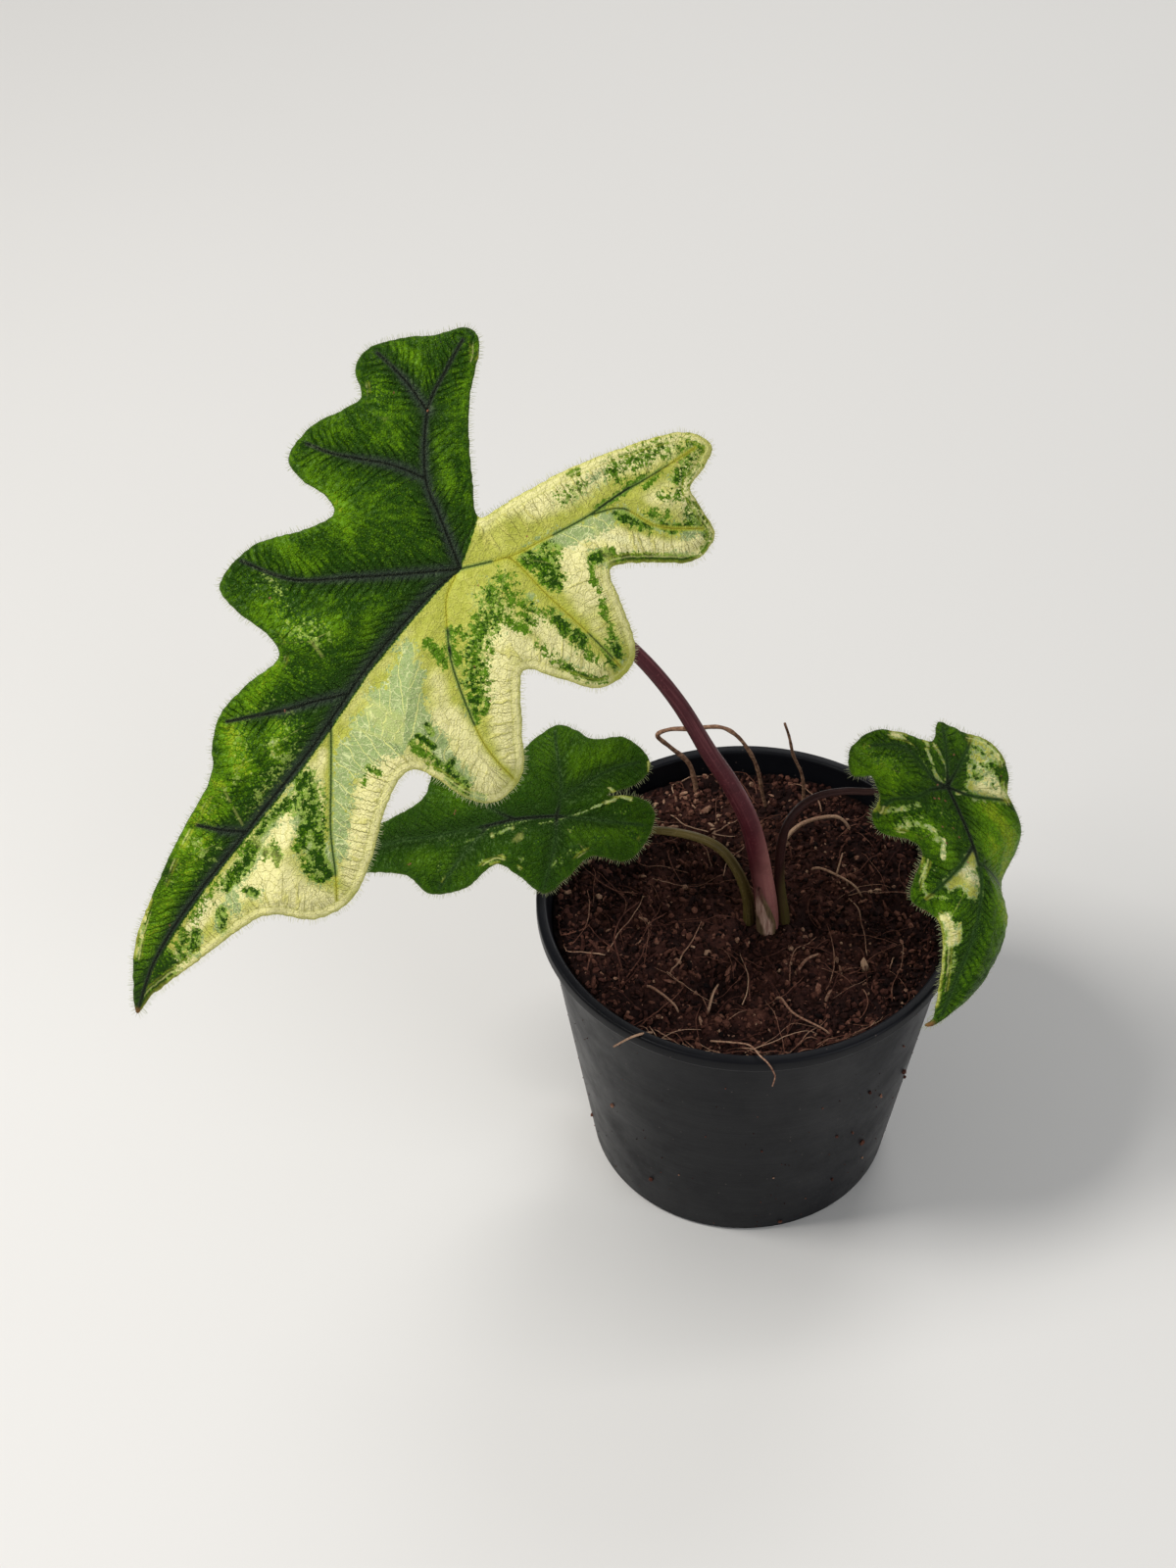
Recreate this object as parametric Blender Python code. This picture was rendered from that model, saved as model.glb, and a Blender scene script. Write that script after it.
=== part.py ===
"""A young potted alocasia: black nursery pot, coir soil, buried rootstock,
three leaf stalks with a dry sheath at their foot, and three lobed blades.
A loose root loops out of the soil at the back.

The origin is the middle of the pot's base, +Z is up, and -Y faces the viewer.
Named sizes are in millimetres; meshes are written in metres.
"""
import math

import bmesh
import bpy
from mathutils import Vector, noise
from mathutils.geometry import delaunay_2d_cdt

MM = 0.001
GAP = 0.3                     # clearance between two pieces that touch

# Pot
POT_RIM_RADIUS = 60.0
POT_BASE_RADIUS = 43.5
POT_HEIGHT = 97.0
POT_WALL = 1.2
POT_SIDES = 64
LIP_HEIGHT = 4.2
LIP_OVERHANG = 2.6            # how far the lip stands out past the wall
LIP_ROUND = 0.9
BASE_THICKNESS = 1.6
BASE_RECESS = 1.4             # the underside is raised between its middle and its foot ring
BASE_MIDDLE_RADIUS = 15.0
FOOT_RING_WIDTH = 5.5
FOOT_CHAMFER = 0.9
DRAIN_COUNT = 8
DRAIN_RADIUS = 4.0
DRAIN_RING_RADIUS = 29.0

# Soil
SOIL_DROP = 6.5               # from the rim down to the soil at the wall
SOIL_MOUND = 3.0              # the soil rises by this much towards the crown
SOIL_GRAIN = 4.4              # spacing of the surface's points
SOIL_ROUGHNESS = 1.5
SOIL_LUMP = 9.0               # size of the larger lumps
SOIL_CRUMB = 4.0              # size of the smaller ones
FIBRE_SIDES = 5
FIBRE_STEP = 3.5

# Rootstock
CROWN = (5.0, -6.4)           # where the stalks leave the soil
NECK_TOP = 84.0
CORM_PROFILE = [              # (radius, height) from the foot of the corm to the flat top of its neck
    (7.0, 54.0), (9.8, 57.5), (11.9, 62.0), (12.6, 67.0), (11.8, 71.5), (9.6, 77.0),
    (8.6, 82.5), (7.8, NECK_TOP),
]
CORM_SIDES = 24
ROOT_COUNT = 7
ROOT_RADIUS = 1.5
ROOT_START = 64.0
ROOT_SPREAD = 27.0
ROOT_BOTTOM = 9.0
ROOT_SIDES = 7
ROOT_STEP = 9.0

# Stalks: hand-placed route points (x, y, z) from the rootstock up to the blade
STALK_FOOT = NECK_TOP + GAP
STALK_SIDES = 12
STALK_STEP = 7.0
STALK_HOLE_TOP = 108.0        # the tool that makes a stalk's hole in the soil ends here
MAIN_STALK_RADII = (3.0, 2.1)
SIDE_STALK_RADII = (1.6, 1.05)
NOSE_RADIUS_SHARE = 0.6       # the stalk thins to this share where it ends under the midrib
NOSE_CLEARANCE = GAP + 0.15
MAIN_STALK_ROUTE = [
    (5.0, -6.4, STALK_FOOT), (4.6, -6.4, 98.0), (2.1, -7.0, 117.0), (-1.5, -8.0, 136.0),
    (-7.3, -9.0, 152.5), (-13.5, -10.5, 166.5), (-22.5, -12.5, 188.0), (-33.4, -14.5, 207.0),
    (-46.0, -16.5, 222.5), (-60.0, -17.5, 233.0),
]
LEFT_STALK_ROUTE = [
    (-0.1, -5.4, STALK_FOOT), (-0.2, -4.8, 94.0), (-1.0, -3.8, 102.0), (-4.0, -2.0, 110.5),
    (-8.6, -0.6, 117.5), (-15.0, 0.4, 121.2), (-24.0, 1.6, 122.6), (-36.0, 2.8, 122.6),
]
RIGHT_STALK_ROUTE = [
    (9.9, -5.4, STALK_FOOT), (9.6, -4.8, 94.0), (7.9, -4.0, 107.0), (7.6, -4.0, 119.0),
    (8.6, -4.0, 129.5), (11.8, -4.0, 137.5), (16.8, -4.0, 142.4), (24.0, -4.2, 144.6),
    (34.0, -4.4, 144.9),
]

# Dry sheath round the front of the main stalk's foot
SHEATH_CLEAR = 0.35
SHEATH_THICKNESS = 0.7
SHEATH_BOTTOM = 85.5
SHEATH_TOP = 108.0
SHEATH_SPREAD = math.radians(58)
SHEATH_TURN = math.radians(-100)
SHEATH_TAPER = 0.85           # its width lost from foot to top
SHEATH_LEAN = 0.08            # follows the stalk, per unit of height above SHEATH_LEAN_START
SHEATH_LEAN_START = 98.0
SHEATH_FLARE = 0.3
SHEATH_RAGGED = 1.2
SHEATH_COLUMNS = 8
SHEATH_ROWS = 7

# Blades. Each one is drawn flat: u runs across the blade, + on the viewer's left, and v along the
# midrib from the stalk's junction at (0, 0) to the tip. The flat blade is then bent into place.
MAIN_BLADE = {
    "junction": (-77.0, -20.0, 241.0),
    "towards_tip": (-79.5, -80.5, -75.5),
    "facing": (0.055, -0.71, 0.70),
    "thickness": 0.9,
    "step": 5.2,
    "tip_bend": (22.0, 140.0),
    "back_bend": (14.0, 70.0),
    "cup": 8.0,
    "curl": (22.0, 26.0, 55.0),
    "fold": (0.0, 1.0),
    "bow": (0.0, 1.0),
    "puff": (4.2, 13.0),
    "roll": (1.6, 3.0),
    "edge": [
        (4, -13),
        (10.5, -19.5), (18.5, -29), (23.5, -37), (28, -47), (31.5, -50.5), (35.5, -49.5),
        (40, -43.5), (47, -38), (52, -32), (51, -25.5), (45, -20.5),
        (47, -15), (52, -7), (52, 2), (46, 5), (37.5, 5), (33, 7.5),
        (37, 15), (46, 26), (47, 38), (39.5, 41), (29, 41), (23.5, 44),
        (26, 53.5), (27.5, 64.5), (24.5, 72), (20, 78.5),
        (18.5, 92.5), (15.5, 109.5), (12, 125), (6, 136.5),
        (0.5, 143.5),
        (0, 135.5), (-4, 121), (-9, 103.5), (-13, 97.5),
        (-22, 93), (-26.5, 84.5), (-24.5, 72.5), (-19.5, 58.5), (-18.5, 48),
        (-25, 45.5), (-34.5, 45.5), (-42, 42), (-43.5, 33), (-36, 23.5), (-29, 15), (-27.5, 10.5),
        (-36, 7.5), (-46.5, 3.5), (-50.5, -4.5), (-47, -11), (-37, -17), (-30, -22),
        (-37, -29), (-47, -37), (-48, -46), (-40.5, -49), (-35, -51),
        (-35, -58), (-33, -63.5), (-25.5, -61.5), (-17, -51), (-7.5, -36), (0.5, -19.5),
    ],
    "veins": [
        [(0, 0), (2, 26), (4, 45), (4, 85), (4, 120), (0.5, 142)],
        [(0, 0), (14, -10), (21, -15), (30, -28), (33, -41), (33, -48)],
        [(30, -28), (39, -31), (49, -31)],
        [(20, -14), (29, -11), (42, -6), (50, -3)],
        [(0, 0), (13, 11), (31, 26), (44, 32)],
        [(4, 42), (14, 51), (25, 65)],
        [(5, 83), (16, 92)],
        [(0, 0), (-8, -10), (-18, -29), (-23, -42), (-30, -60)],
        [(-19, -30), (-28, -37), (-44, -45)],
        [(-8, -10), (-21, -8), (-36, -5), (-48, -4)],
        [(0, 2), (-3, 10), (-13, 21), (-25, 29), (-41, 38)],
        [(3, 48), (-3, 61), (-14, 74), (-24, 86)],
    ],
}

LEFT_BLADE = {
    "junction": (-54.0, 4.0, 126.0),
    "towards_tip": (-68.0, 0.0, -20.0),
    "facing": (0.0, -0.55, 0.83),
    "thickness": 0.8,
    "step": 3.6,
    "tip_bend": (15.0, 70.0),
    "back_bend": (10.0, 30.0),
    "cup": 8.0,
    "curl": (18.0, 22.0, 28.0),
    "fold": (0.0, 1.0),
    "bow": (0.0, 1.0),
    "puff": (2.2, 6.5),
    "roll": (0.9, 1.8),
    "edge": [
        (3, -15),
        (4.5, -23), (8, -27.5), (13, -27), (18, -22), (19, -13.5),
        (23, -9), (26, -3.5), (23, 2.5), (19, 8),
        (20, 16), (24, 25), (20, 33), (12.5, 37),
        (9, 49), (6.5, 64),
        (2, 77),
        (-2, 67), (-5, 54), (-8, 45),
        (-14, 40), (-14.5, 29), (-10, 19),
        (-14.5, 13), (-20.5, 7.5), (-17.5, 0), (-13, -8),
        (-16, -17), (-11.5, -23.5), (-4, -27), (1, -23),
    ],
    "veins": [
        [(0, 0), (2, 13), (2, 34), (2, 76)],
        [(0, 0), (9, -3), (24, -4)],
        [(5, -1), (8, -10), (10, -25)],
        [(0, 0), (-7, 1), (-19, 7)],
        [(0, 0), (-3, -10), (-7, -23)],
        [(2, 13), (10, 21), (21, 29)],
        [(2, 19), (-6, 29), (-13, 37)],
    ],
}

RIGHT_BLADE = {
    "junction": (51.7, -4.0, 146.0),
    "towards_tip": (-3.1, -50.0, -36.0),
    "facing": (0.15, -0.45, 0.88),
    "thickness": 0.8,
    "step": 3.4,
    "tip_bend": (20.0, 62.0),
    "back_bend": (25.0, 20.0),
    "cup": 2.0,
    "curl": (20.0, 30.0, 28.0),
    "fold": (56.0, 26.0),
    "bow": (-14.0, 71.0),
    "puff": (2.0, 6.0),
    "roll": (0.9, 1.8),
    "edge": [
        (4.5, -12.5),
        (12.5, -15), (20.5, -15.5), (26.5, -10), (26, -2), (20.5, -1.5),
        (20.5, 3.5), (25.5, 9), (25, 13.5), (18, 15), (16, 18.5),
        (20.5, 26), (21.5, 31.5), (14.5, 36),
        (12, 42), (8.5, 52.5), (5.5, 59.5),
        (0, 64),
        (-6.5, 57.5), (-10, 50), (-11.5, 43), (-13, 37),
        (-15.5, 31), (-17.5, 25), (-19, 19), (-18.5, 14),
        (-18.5, 9), (-18, 2), (-17, -6), (-14, -12), (-9.5, -15.5), (-4, -16.5),
        (2, -19),
    ],
    "veins": [
        [(0, 0), (0, 20), (0, 62)],
        [(0, 0), (7, -6), (18, -12), (24, -8)],
        [(0, 0), (-4, -8), (0, -17)],
        [(0, 0), (13, 6), (24, 11)],
        [(1, 14), (13, 23), (20, 30)],
        [(0, 0), (-10, 2), (-17, 2)],
        [(0, 14), (-9, 20), (-16, 28)],
    ],
}

# A loose root that loops out of the soil, dips back under it and ends in the air
LOOSE_ROOT_RADIUS = 0.75
LOOSE_ROOT_ROUTE = [
    (-13, 46, 84), (-14.5, 47.5, 95), (-16.5, 48, 102), (-21.5, 48, 108), (-25.5, 47, 114),
    (-22, 46, 117.5), (-16, 45, 118.8), (-8, 44, 120.5), (-3, 43, 118), (1, 42, 112),
    (3.5, 41.5, 105), (5.5, 40.5, 94), (8, 40, 86), (12.5, 40.5, 83.5), (16.5, 42, 87),
    (17, 43, 96), (16, 43, 103), (13.5, 43, 110), (12, 43, 117.5), (10.5, 43, 123),
]

# Fibres fused to the soil: route points and radius
FIBRES = [
    ([(9, 20, 86), (10.5, 23, 94.5), (15, 27.5, 96.5), (21, 30.5, 96.5), (27, 31.5, 95.5),
      (31, 31, 86)], 0.6),
    ([(17, 15, 86), (19.5, 13, 94.5), (24, 10, 95.5), (30, 6, 94.5), (33, 4, 86)], 0.5),
    ([(-30, -28, 85), (-28, -30.5, 93.5), (-22, -36.5, 93.5), (-20, -38, 85)], 0.55),
    ([(6, -33, 86), (7.5, -35, 94), (11, -41, 94.5), (19, -45, 92.5), (22, -46, 85)], 0.5),
]


def clear_scene():
    for item in list(bpy.data.objects):
        bpy.data.objects.remove(item, do_unlink=True)


def material(name, colour, roughness):
    made = bpy.data.materials.new(name)
    made.use_nodes = True
    shader = made.node_tree.nodes["Principled BSDF"]
    shader.inputs["Base Color"].default_value = (*colour, 1.0)
    shader.inputs["Roughness"].default_value = roughness
    shader.inputs["Metallic"].default_value = 0.0
    return made


def add_object(name, verts, faces, look=None):
    """A mesh object from vertices in millimetres, its faces turned outwards."""
    mesh = bpy.data.meshes.new(name)
    mesh.from_pydata([Vector(v) * MM for v in verts], [], faces)
    work = bmesh.new()
    work.from_mesh(mesh)
    bmesh.ops.recalc_face_normals(work, faces=work.faces)
    work.to_mesh(mesh)
    work.free()
    item = bpy.data.objects.new(name, mesh)
    bpy.context.scene.collection.objects.link(item)
    if look:
        mesh.materials.append(look)
    return item


def smooth(item, angle=40.0):
    item.data.shade_smooth()
    item.data.set_sharp_from_angle(angle=math.radians(angle))


def catmull(a, b, c, d, t):
    """The point at share t between b and c on the smooth curve through a, b, c and d."""
    return 0.5 * (2 * b + (c - a) * t + (2 * a - 5 * b + 4 * c - d) * t * t
                  + (3 * b - a - 3 * c + d) * t ** 3)


def smooth_path(route, step):
    """Evenly spaced points, about step apart, on an open smooth curve through the route."""
    knots = [Vector(p) for p in route]
    knots = [2 * knots[0] - knots[1], *knots, 2 * knots[-1] - knots[-2]]
    fine = [knots[1]]
    for a, b, c, d in zip(knots, knots[1:], knots[2:], knots[3:]):
        fine += [catmull(a, b, c, d, k / 12) for k in range(1, 13)]
    return spaced(fine, step)


def smooth_loop(corners, step):
    """The same for a closed outline."""
    knots = [Vector(p) for p in corners]
    count = len(knots)
    fine = []
    for i in range(count):
        a, b, c, d = (knots[(i + k) % count] for k in (-1, 0, 1, 2))
        fine += [catmull(a, b, c, d, k / 12) for k in range(12)]
    return spaced([*fine, fine[0]], step)[:-1]


def spaced(fine, step):
    total = sum((q - p).length for p, q in zip(fine, fine[1:]))
    count = max(2, round(total / step))
    wanted = [total * k / count for k in range(count + 1)]
    points = [fine[0]]
    run = 0.0
    for p, q in zip(fine, fine[1:]):
        length = (q - p).length
        while len(points) < count and wanted[len(points)] <= run + length:
            points.append(p.lerp(q, (wanted[len(points)] - run) / length))
        run += length
    points.append(fine[-1])
    return points


def turned(name, profile, sides, look=None, centre=(0.0, 0.0)):
    """A solid of revolution. The profile of (radius, height) starts and ends on the axis."""
    verts = []
    rings = []
    for radius, height in profile:
        count = sides if radius > 0 else 1
        rings.append(range(len(verts), len(verts) + count))
        verts += [(centre[0] + radius * math.cos(math.tau * k / sides),
                   centre[1] + radius * math.sin(math.tau * k / sides), height)
                  for k in range(count)]
    faces = []
    for low, high in zip(rings, rings[1:]):
        for k in range(sides):
            corners = [low[k % len(low)], low[(k + 1) % len(low)],
                       high[(k + 1) % len(high)], high[k % len(high)]]
            faces.append(list(dict.fromkeys(corners)))
    return add_object(name, verts, faces, look)


def tube(name, points, radii, sides, look=None):
    """A round rod with flat ends through the points, with one radius for each point."""
    verts = []
    across = Vector((1, 0, 0))
    for i, (point, radius) in enumerate(zip(points, radii)):
        along = (points[min(i + 1, len(points) - 1)] - points[max(i - 1, 0)]).normalized()
        if i == 0 and along.z > 0.9:
            along = Vector((0, 0, 1))
        across = (across - along * across.dot(along)).normalized()
        side = along.cross(across)
        verts += [point + radius * (math.cos(math.tau * k / sides) * across
                                    + math.sin(math.tau * k / sides) * side)
                  for k in range(sides)]
    faces = [list(range(sides)), list(range(len(verts) - sides, len(verts)))]
    for ring in range(len(points) - 1):
        for k in range(sides):
            a = ring * sides + k
            b = ring * sides + (k + 1) % sides
            faces.append([a, b, b + sides, a + sides])
    return add_object(name, verts, faces, look)


def tapered(start, end, count):
    return [start + (end - start) * k / (count - 1) for k in range(count)]


def combine(base, others, operation):
    """Apply one Boolean with a collection of solids, then remove that collection."""
    group = bpy.data.collections.new("operands")
    bpy.context.scene.collection.children.link(group)
    for other in others:
        group.objects.link(other)
    step = base.modifiers.new(operation, "BOOLEAN")
    step.operation = operation
    step.operand_type = "COLLECTION"
    step.collection = group
    step.solver = "MANIFOLD"
    bpy.context.view_layer.update()
    shaped = base.evaluated_get(bpy.context.evaluated_depsgraph_get())
    result = bpy.data.meshes.new_from_object(shaped)
    base.modifiers.remove(step)
    base.data = result
    for other in others:
        bpy.data.objects.remove(other, do_unlink=True)
    bpy.data.collections.remove(group)


def cutter(item, target):
    """Cut target with item, and keep item as a hidden guide."""
    item.hide_render = True
    item.display_type = "WIRE"
    step = target.modifiers.new(item.name, "BOOLEAN")
    step.operation = "DIFFERENCE"
    step.object = item


# Pot

def wall_radius(height):
    """Outer radius of the pot's tapered wall."""
    top = POT_RIM_RADIUS - LIP_OVERHANG
    return POT_BASE_RADIUS + (top - POT_BASE_RADIUS) * height / (POT_HEIGHT - LIP_HEIGHT)


def inner_radius(height):
    return wall_radius(height) - POT_WALL


def corner_arc(radius, height, start, end, size=LIP_ROUND, steps=2):
    """Points on a round corner centred at (radius, height), from angle start to end in degrees."""
    return [(radius + size * math.cos(math.radians(start + (end - start) * k / steps)),
             height + size * math.sin(math.radians(start + (end - start) * k / steps)))
            for k in range(steps + 1)]


def make_pot():
    lip_bottom = POT_HEIGHT - LIP_HEIGHT
    ring_inner = POT_BASE_RADIUS - FOOT_RING_WIDTH
    floor = BASE_RECESS + BASE_THICKNESS
    lip_inner = inner_radius(POT_HEIGHT)
    profile = [
        (0, 0), (BASE_MIDDLE_RADIUS, 0), (BASE_MIDDLE_RADIUS + BASE_RECESS, BASE_RECESS),
        (ring_inner - BASE_RECESS, BASE_RECESS), (ring_inner, 0),
        (POT_BASE_RADIUS - FOOT_CHAMFER, 0), (wall_radius(FOOT_CHAMFER), FOOT_CHAMFER),
        (wall_radius(lip_bottom), lip_bottom),
        *corner_arc(POT_RIM_RADIUS - LIP_ROUND, lip_bottom + LIP_ROUND, -90, 0),
        *corner_arc(POT_RIM_RADIUS - LIP_ROUND, POT_HEIGHT - LIP_ROUND, 0, 90),
        *corner_arc(lip_inner + LIP_ROUND, POT_HEIGHT - LIP_ROUND, 90, 180),
        (inner_radius(lip_bottom), lip_bottom), (inner_radius(floor), floor), (0, floor),
    ]
    pot = turned("pot", profile, POT_SIDES, material("pot_plastic", (0.012, 0.013, 0.016), 0.42))
    for k in range(DRAIN_COUNT):
        turn = math.tau * (k + 0.5) / DRAIN_COUNT
        place = (DRAIN_RING_RADIUS * math.cos(turn), DRAIN_RING_RADIUS * math.sin(turn))
        drill = turned(f"drain_{k}", [(0, -1), (DRAIN_RADIUS, -1), (DRAIN_RADIUS, floor + 1),
                                      (0, floor + 1)], 16, centre=place)
        cutter(drill, pot)
    smooth(pot)
    return pot


# Stalks and sheath

def nose_points(leaf, radius):
    """Where a stalk turns under its blade: points below the midrib, clear of the blade."""
    under = leaf["thickness"] / 2 + NOSE_CLEARANCE
    return [bent(leaf, 0, v, -(under + radius * share))
            for v, share in ((-2.0, 1.0), (3.0, 0.9), (8.0, NOSE_RADIUS_SHARE))]


def stalk_body(name, route, leaf, radii, look=None, hole=False):
    """A tapered stalk, or the tool that makes its hole in the soil."""
    foot, top = radii
    points = smooth_path([*route, *nose_points(leaf, top)], STALK_STEP)
    sizes = [*tapered(foot, top, len(points) - 1), top * NOSE_RADIUS_SHARE]
    if hole:
        points = [p for p in points if p.z < STALK_HOLE_TOP]
        points[0] = points[0] - Vector((0, 0, 2 * GAP))
        sizes = [r + GAP for r in sizes]
    return tube(name, points, sizes[:len(points)], STALK_SIDES, look)


def sheath_body(name, look=None, hole=False):
    """A curved pointed strip round the main stalk's foot, or the tool that makes its hole."""
    grow = GAP if hole else 0.0
    inner = MAIN_STALK_RADII[0] + SHEATH_CLEAR - 3 * grow
    outer = MAIN_STALK_RADII[0] + SHEATH_CLEAR + SHEATH_THICKNESS + grow
    bottom = SHEATH_BOTTOM - grow
    verts = []
    for row in range(SHEATH_ROWS + 1):
        share = row / SHEATH_ROWS
        spread = SHEATH_SPREAD * (1 - SHEATH_TAPER * share ** 1.6) + grow / inner
        height = bottom + (SHEATH_TOP + grow - bottom) * share
        middle = CROWN[0] - SHEATH_LEAN * max(0.0, height - SHEATH_LEAN_START)
        flare = SHEATH_FLARE * share
        for column in range(SHEATH_COLUMNS + 1):
            turn = SHEATH_TURN + spread * (2 * column / SHEATH_COLUMNS - 1)
            top = height if hole else height + SHEATH_RAGGED * math.sin(5 * column) * share
            verts += [(middle + (radius + flare) * math.cos(turn),
                       CROWN[1] + (radius + flare) * math.sin(turn), top)
                      for radius in (inner, outer)]
    width = 2 * (SHEATH_COLUMNS + 1)
    faces = []
    for row in range(SHEATH_ROWS):
        first = row * width
        for column in range(SHEATH_COLUMNS):
            a = first + 2 * column
            faces.append([a, a + 2, a + 2 + width, a + width])
            faces.append([a + 1, a + 1 + width, a + 3 + width, a + 3])
        for a in (first, first + width - 2):
            faces.append([a, a + width, a + width + 1, a + 1])
    for column in range(SHEATH_COLUMNS):
        for a in (2 * column, SHEATH_ROWS * width + 2 * column):
            faces.append([a, a + 1, a + 3, a + 2])
    return add_object(name, verts, faces, look)


# Roots

def rootstock_body(name, look=None, hole=False):
    """The corm, its neck and its main roots, or the tool that makes their hollow in the soil."""
    grow = GAP if hole else 0.0
    x, y = CROWN
    foot, top = CORM_PROFILE[0][1] - grow, NECK_TOP + grow
    profile = [(0, foot), (CORM_PROFILE[0][0] + grow, foot)]
    profile += [(radius + grow, height) for radius, height in CORM_PROFILE[1:-1]]
    profile += [(CORM_PROFILE[-1][0] + grow, top), (0, top)]
    body = turned(name, profile, CORM_SIDES, look, centre=CROWN)
    roots = []
    for k in range(ROOT_COUNT):
        turn = math.tau * (k + 0.3) / ROOT_COUNT
        reach = ROOT_SPREAD * (0.75 + 0.25 * math.cos(2.3 * k))
        depth = ROOT_BOTTOM + 7.0 * (1 + math.sin(1.7 * k))
        out = Vector((math.cos(turn), math.sin(turn), 0))
        side = Vector((-math.sin(turn), math.cos(turn), 0))
        start = Vector((x, y, ROOT_START)) + out * 4
        route = [start, start + out * reach * 0.45 - Vector((0, 0, 6)) + side * 2,
                 start + out * reach * 0.85 - Vector((0, 0, 24)) - side * 3,
                 Vector((x, y, depth)) + out * reach * 0.95 + side * 2]
        points = smooth_path(route, ROOT_STEP)
        sizes = tapered(ROOT_RADIUS, ROOT_RADIUS / 2, len(points))
        points[-1] = points[-1] + (points[-1] - points[-2]).normalized() * grow
        roots.append(tube(f"root_{k}", points, [r + grow for r in sizes], ROOT_SIDES))
    combine(body, roots, "UNION")
    return body


def loose_root_body(name, look=None, hole=False):
    points = smooth_path(LOOSE_ROOT_ROUTE, FIBRE_STEP)
    radius = LOOSE_ROOT_RADIUS
    if hole:
        radius += GAP
        points[0] = points[0] + (points[0] - points[1]).normalized() * GAP
    return tube(name, points, [radius] * len(points), FIBRE_SIDES, look)


# Soil

def soil_height(x, y):
    """The rough mounded surface of the soil."""
    edge = POT_HEIGHT - SOIL_DROP
    away = min(1.0, math.hypot(x, y) / inner_radius(edge))
    rough = (noise.noise(Vector((x, y, 3.0)) / SOIL_LUMP)
             + 0.7 * noise.noise(Vector((x, y, 9.0)) / SOIL_CRUMB))
    return edge + SOIL_MOUND * (1 - away ** 2) + SOIL_ROUGHNESS * rough


def grid_points(radius, spacing):
    """Points on a triangular grid inside a circle."""
    rows = int(radius / (spacing * math.sqrt(3) / 2)) + 1
    columns = int(radius / spacing) + 1
    for row in range(-rows, rows + 1):
        for column in range(-columns, columns + 1):
            yield Vector(((column + 0.5 * (row % 2)) * spacing, row * spacing * math.sqrt(3) / 2))


def make_soil(holes):
    edge = POT_HEIGHT - SOIL_DROP
    floor = BASE_RECESS + BASE_THICKNESS + GAP
    radius = inner_radius(edge - SOIL_ROUGHNESS) - GAP
    sides = POT_SIDES
    rim = [Vector((radius * math.cos(math.tau * k / sides), radius * math.sin(math.tau * k / sides)))
           for k in range(sides)]
    inside = [p for p in grid_points(radius, SOIL_GRAIN) if p.length < radius - 0.6 * SOIL_GRAIN]
    flat, _, triangles, *_ = delaunay_2d_cdt([*rim, *inside], [], [list(range(sides))], 1, 1e-6)
    verts = [(p.x, p.y, soil_height(p.x, p.y)) for p in flat]
    for k in range(sides):
        verts[k] = (verts[k][0], verts[k][1], edge - SOIL_ROUGHNESS)
    shrink = (inner_radius(floor) - GAP) / radius
    first = len(verts)
    verts += [(p.x * shrink, p.y * shrink, floor) for p in rim]
    faces = [list(t) for t in triangles]
    faces += [[k, (k + 1) % sides, first + (k + 1) % sides, first + k] for k in range(sides)]
    faces.append([first + k for k in range(sides)])
    soil = add_object("soil", verts, faces, material("coir", (0.045, 0.018, 0.010), 0.95))
    fibres = []
    for k, (route, size) in enumerate(FIBRES):
        points = smooth_path(route, FIBRE_STEP)
        fibres.append(tube(f"fibre_{k}", points, [size] * len(points), FIBRE_SIDES))
    combine(soil, fibres, "UNION")
    combine(soil, holes, "DIFFERENCE")
    return soil


# Blades

def arc(distance, start, end, reach):
    """How far along, how far up and at what slope a bent line is, after a distance along it.
    Its slope turns evenly from start to end degrees over the reach."""
    first = math.radians(start)
    rate = math.radians(end - start) / reach
    slope = first + rate * distance
    if abs(rate) < 1e-9:
        return distance * math.cos(first), distance * math.sin(first), slope
    return ((math.sin(slope) - math.sin(first)) / rate,
            (math.cos(first) - math.cos(slope)) / rate, slope)


def blade_axes(leaf):
    """Unit vectors of the flat blade: across, along and facing."""
    along = Vector(leaf["towards_tip"]).normalized()
    facing = Vector(leaf["facing"])
    facing = (facing - along * facing.dot(along)).normalized()
    return along.cross(facing), along, facing


def bent(leaf, u, v, lift):
    """The place in millimetres of a point of the flat blade, lifted off it by lift."""
    across, along, facing = blade_axes(leaf)
    if v >= 0:
        run, drop, slope = arc(v, 0.0, -leaf["tip_bend"][0], leaf["tip_bend"][1])
    else:
        run, drop, slope = arc(-v, 0.0, -leaf["back_bend"][0], leaf["back_bend"][1])
        run, slope = -run, -slope
    side = 1 if u >= 0 else -1
    curl = leaf["curl"][0 if u >= 0 else 1]
    angle, over = leaf["fold"]
    share = min(1.0, max(0.0, v / over))
    fold = angle * share * share * (3 - 2 * share) if u < 0 else 0.0
    out, rise, tilt = arc(abs(u), leaf["cup"] - fold, -curl - fold, leaf["curl"][2])
    bow, length = leaf["bow"]
    out = side * out + bow * math.sin(math.pi * min(1.0, max(0.0, v / length)))
    upward = math.cos(slope) * facing - math.sin(slope) * along
    normal = math.cos(tilt) * upward - side * math.sin(tilt) * across
    return (Vector(leaf["junction"]) + out * across + run * along + drop * facing
            + rise * upward + lift * normal)


def distance_to(point, line):
    """Distance from a flat point to a line of flat points."""
    best = math.inf
    for p, q in zip(line, line[1:]):
        step = q - p
        share = max(0.0, min(1.0, (point - p).dot(step) / step.length_squared))
        best = min(best, (p + share * step - point).length)
    return best


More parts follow.
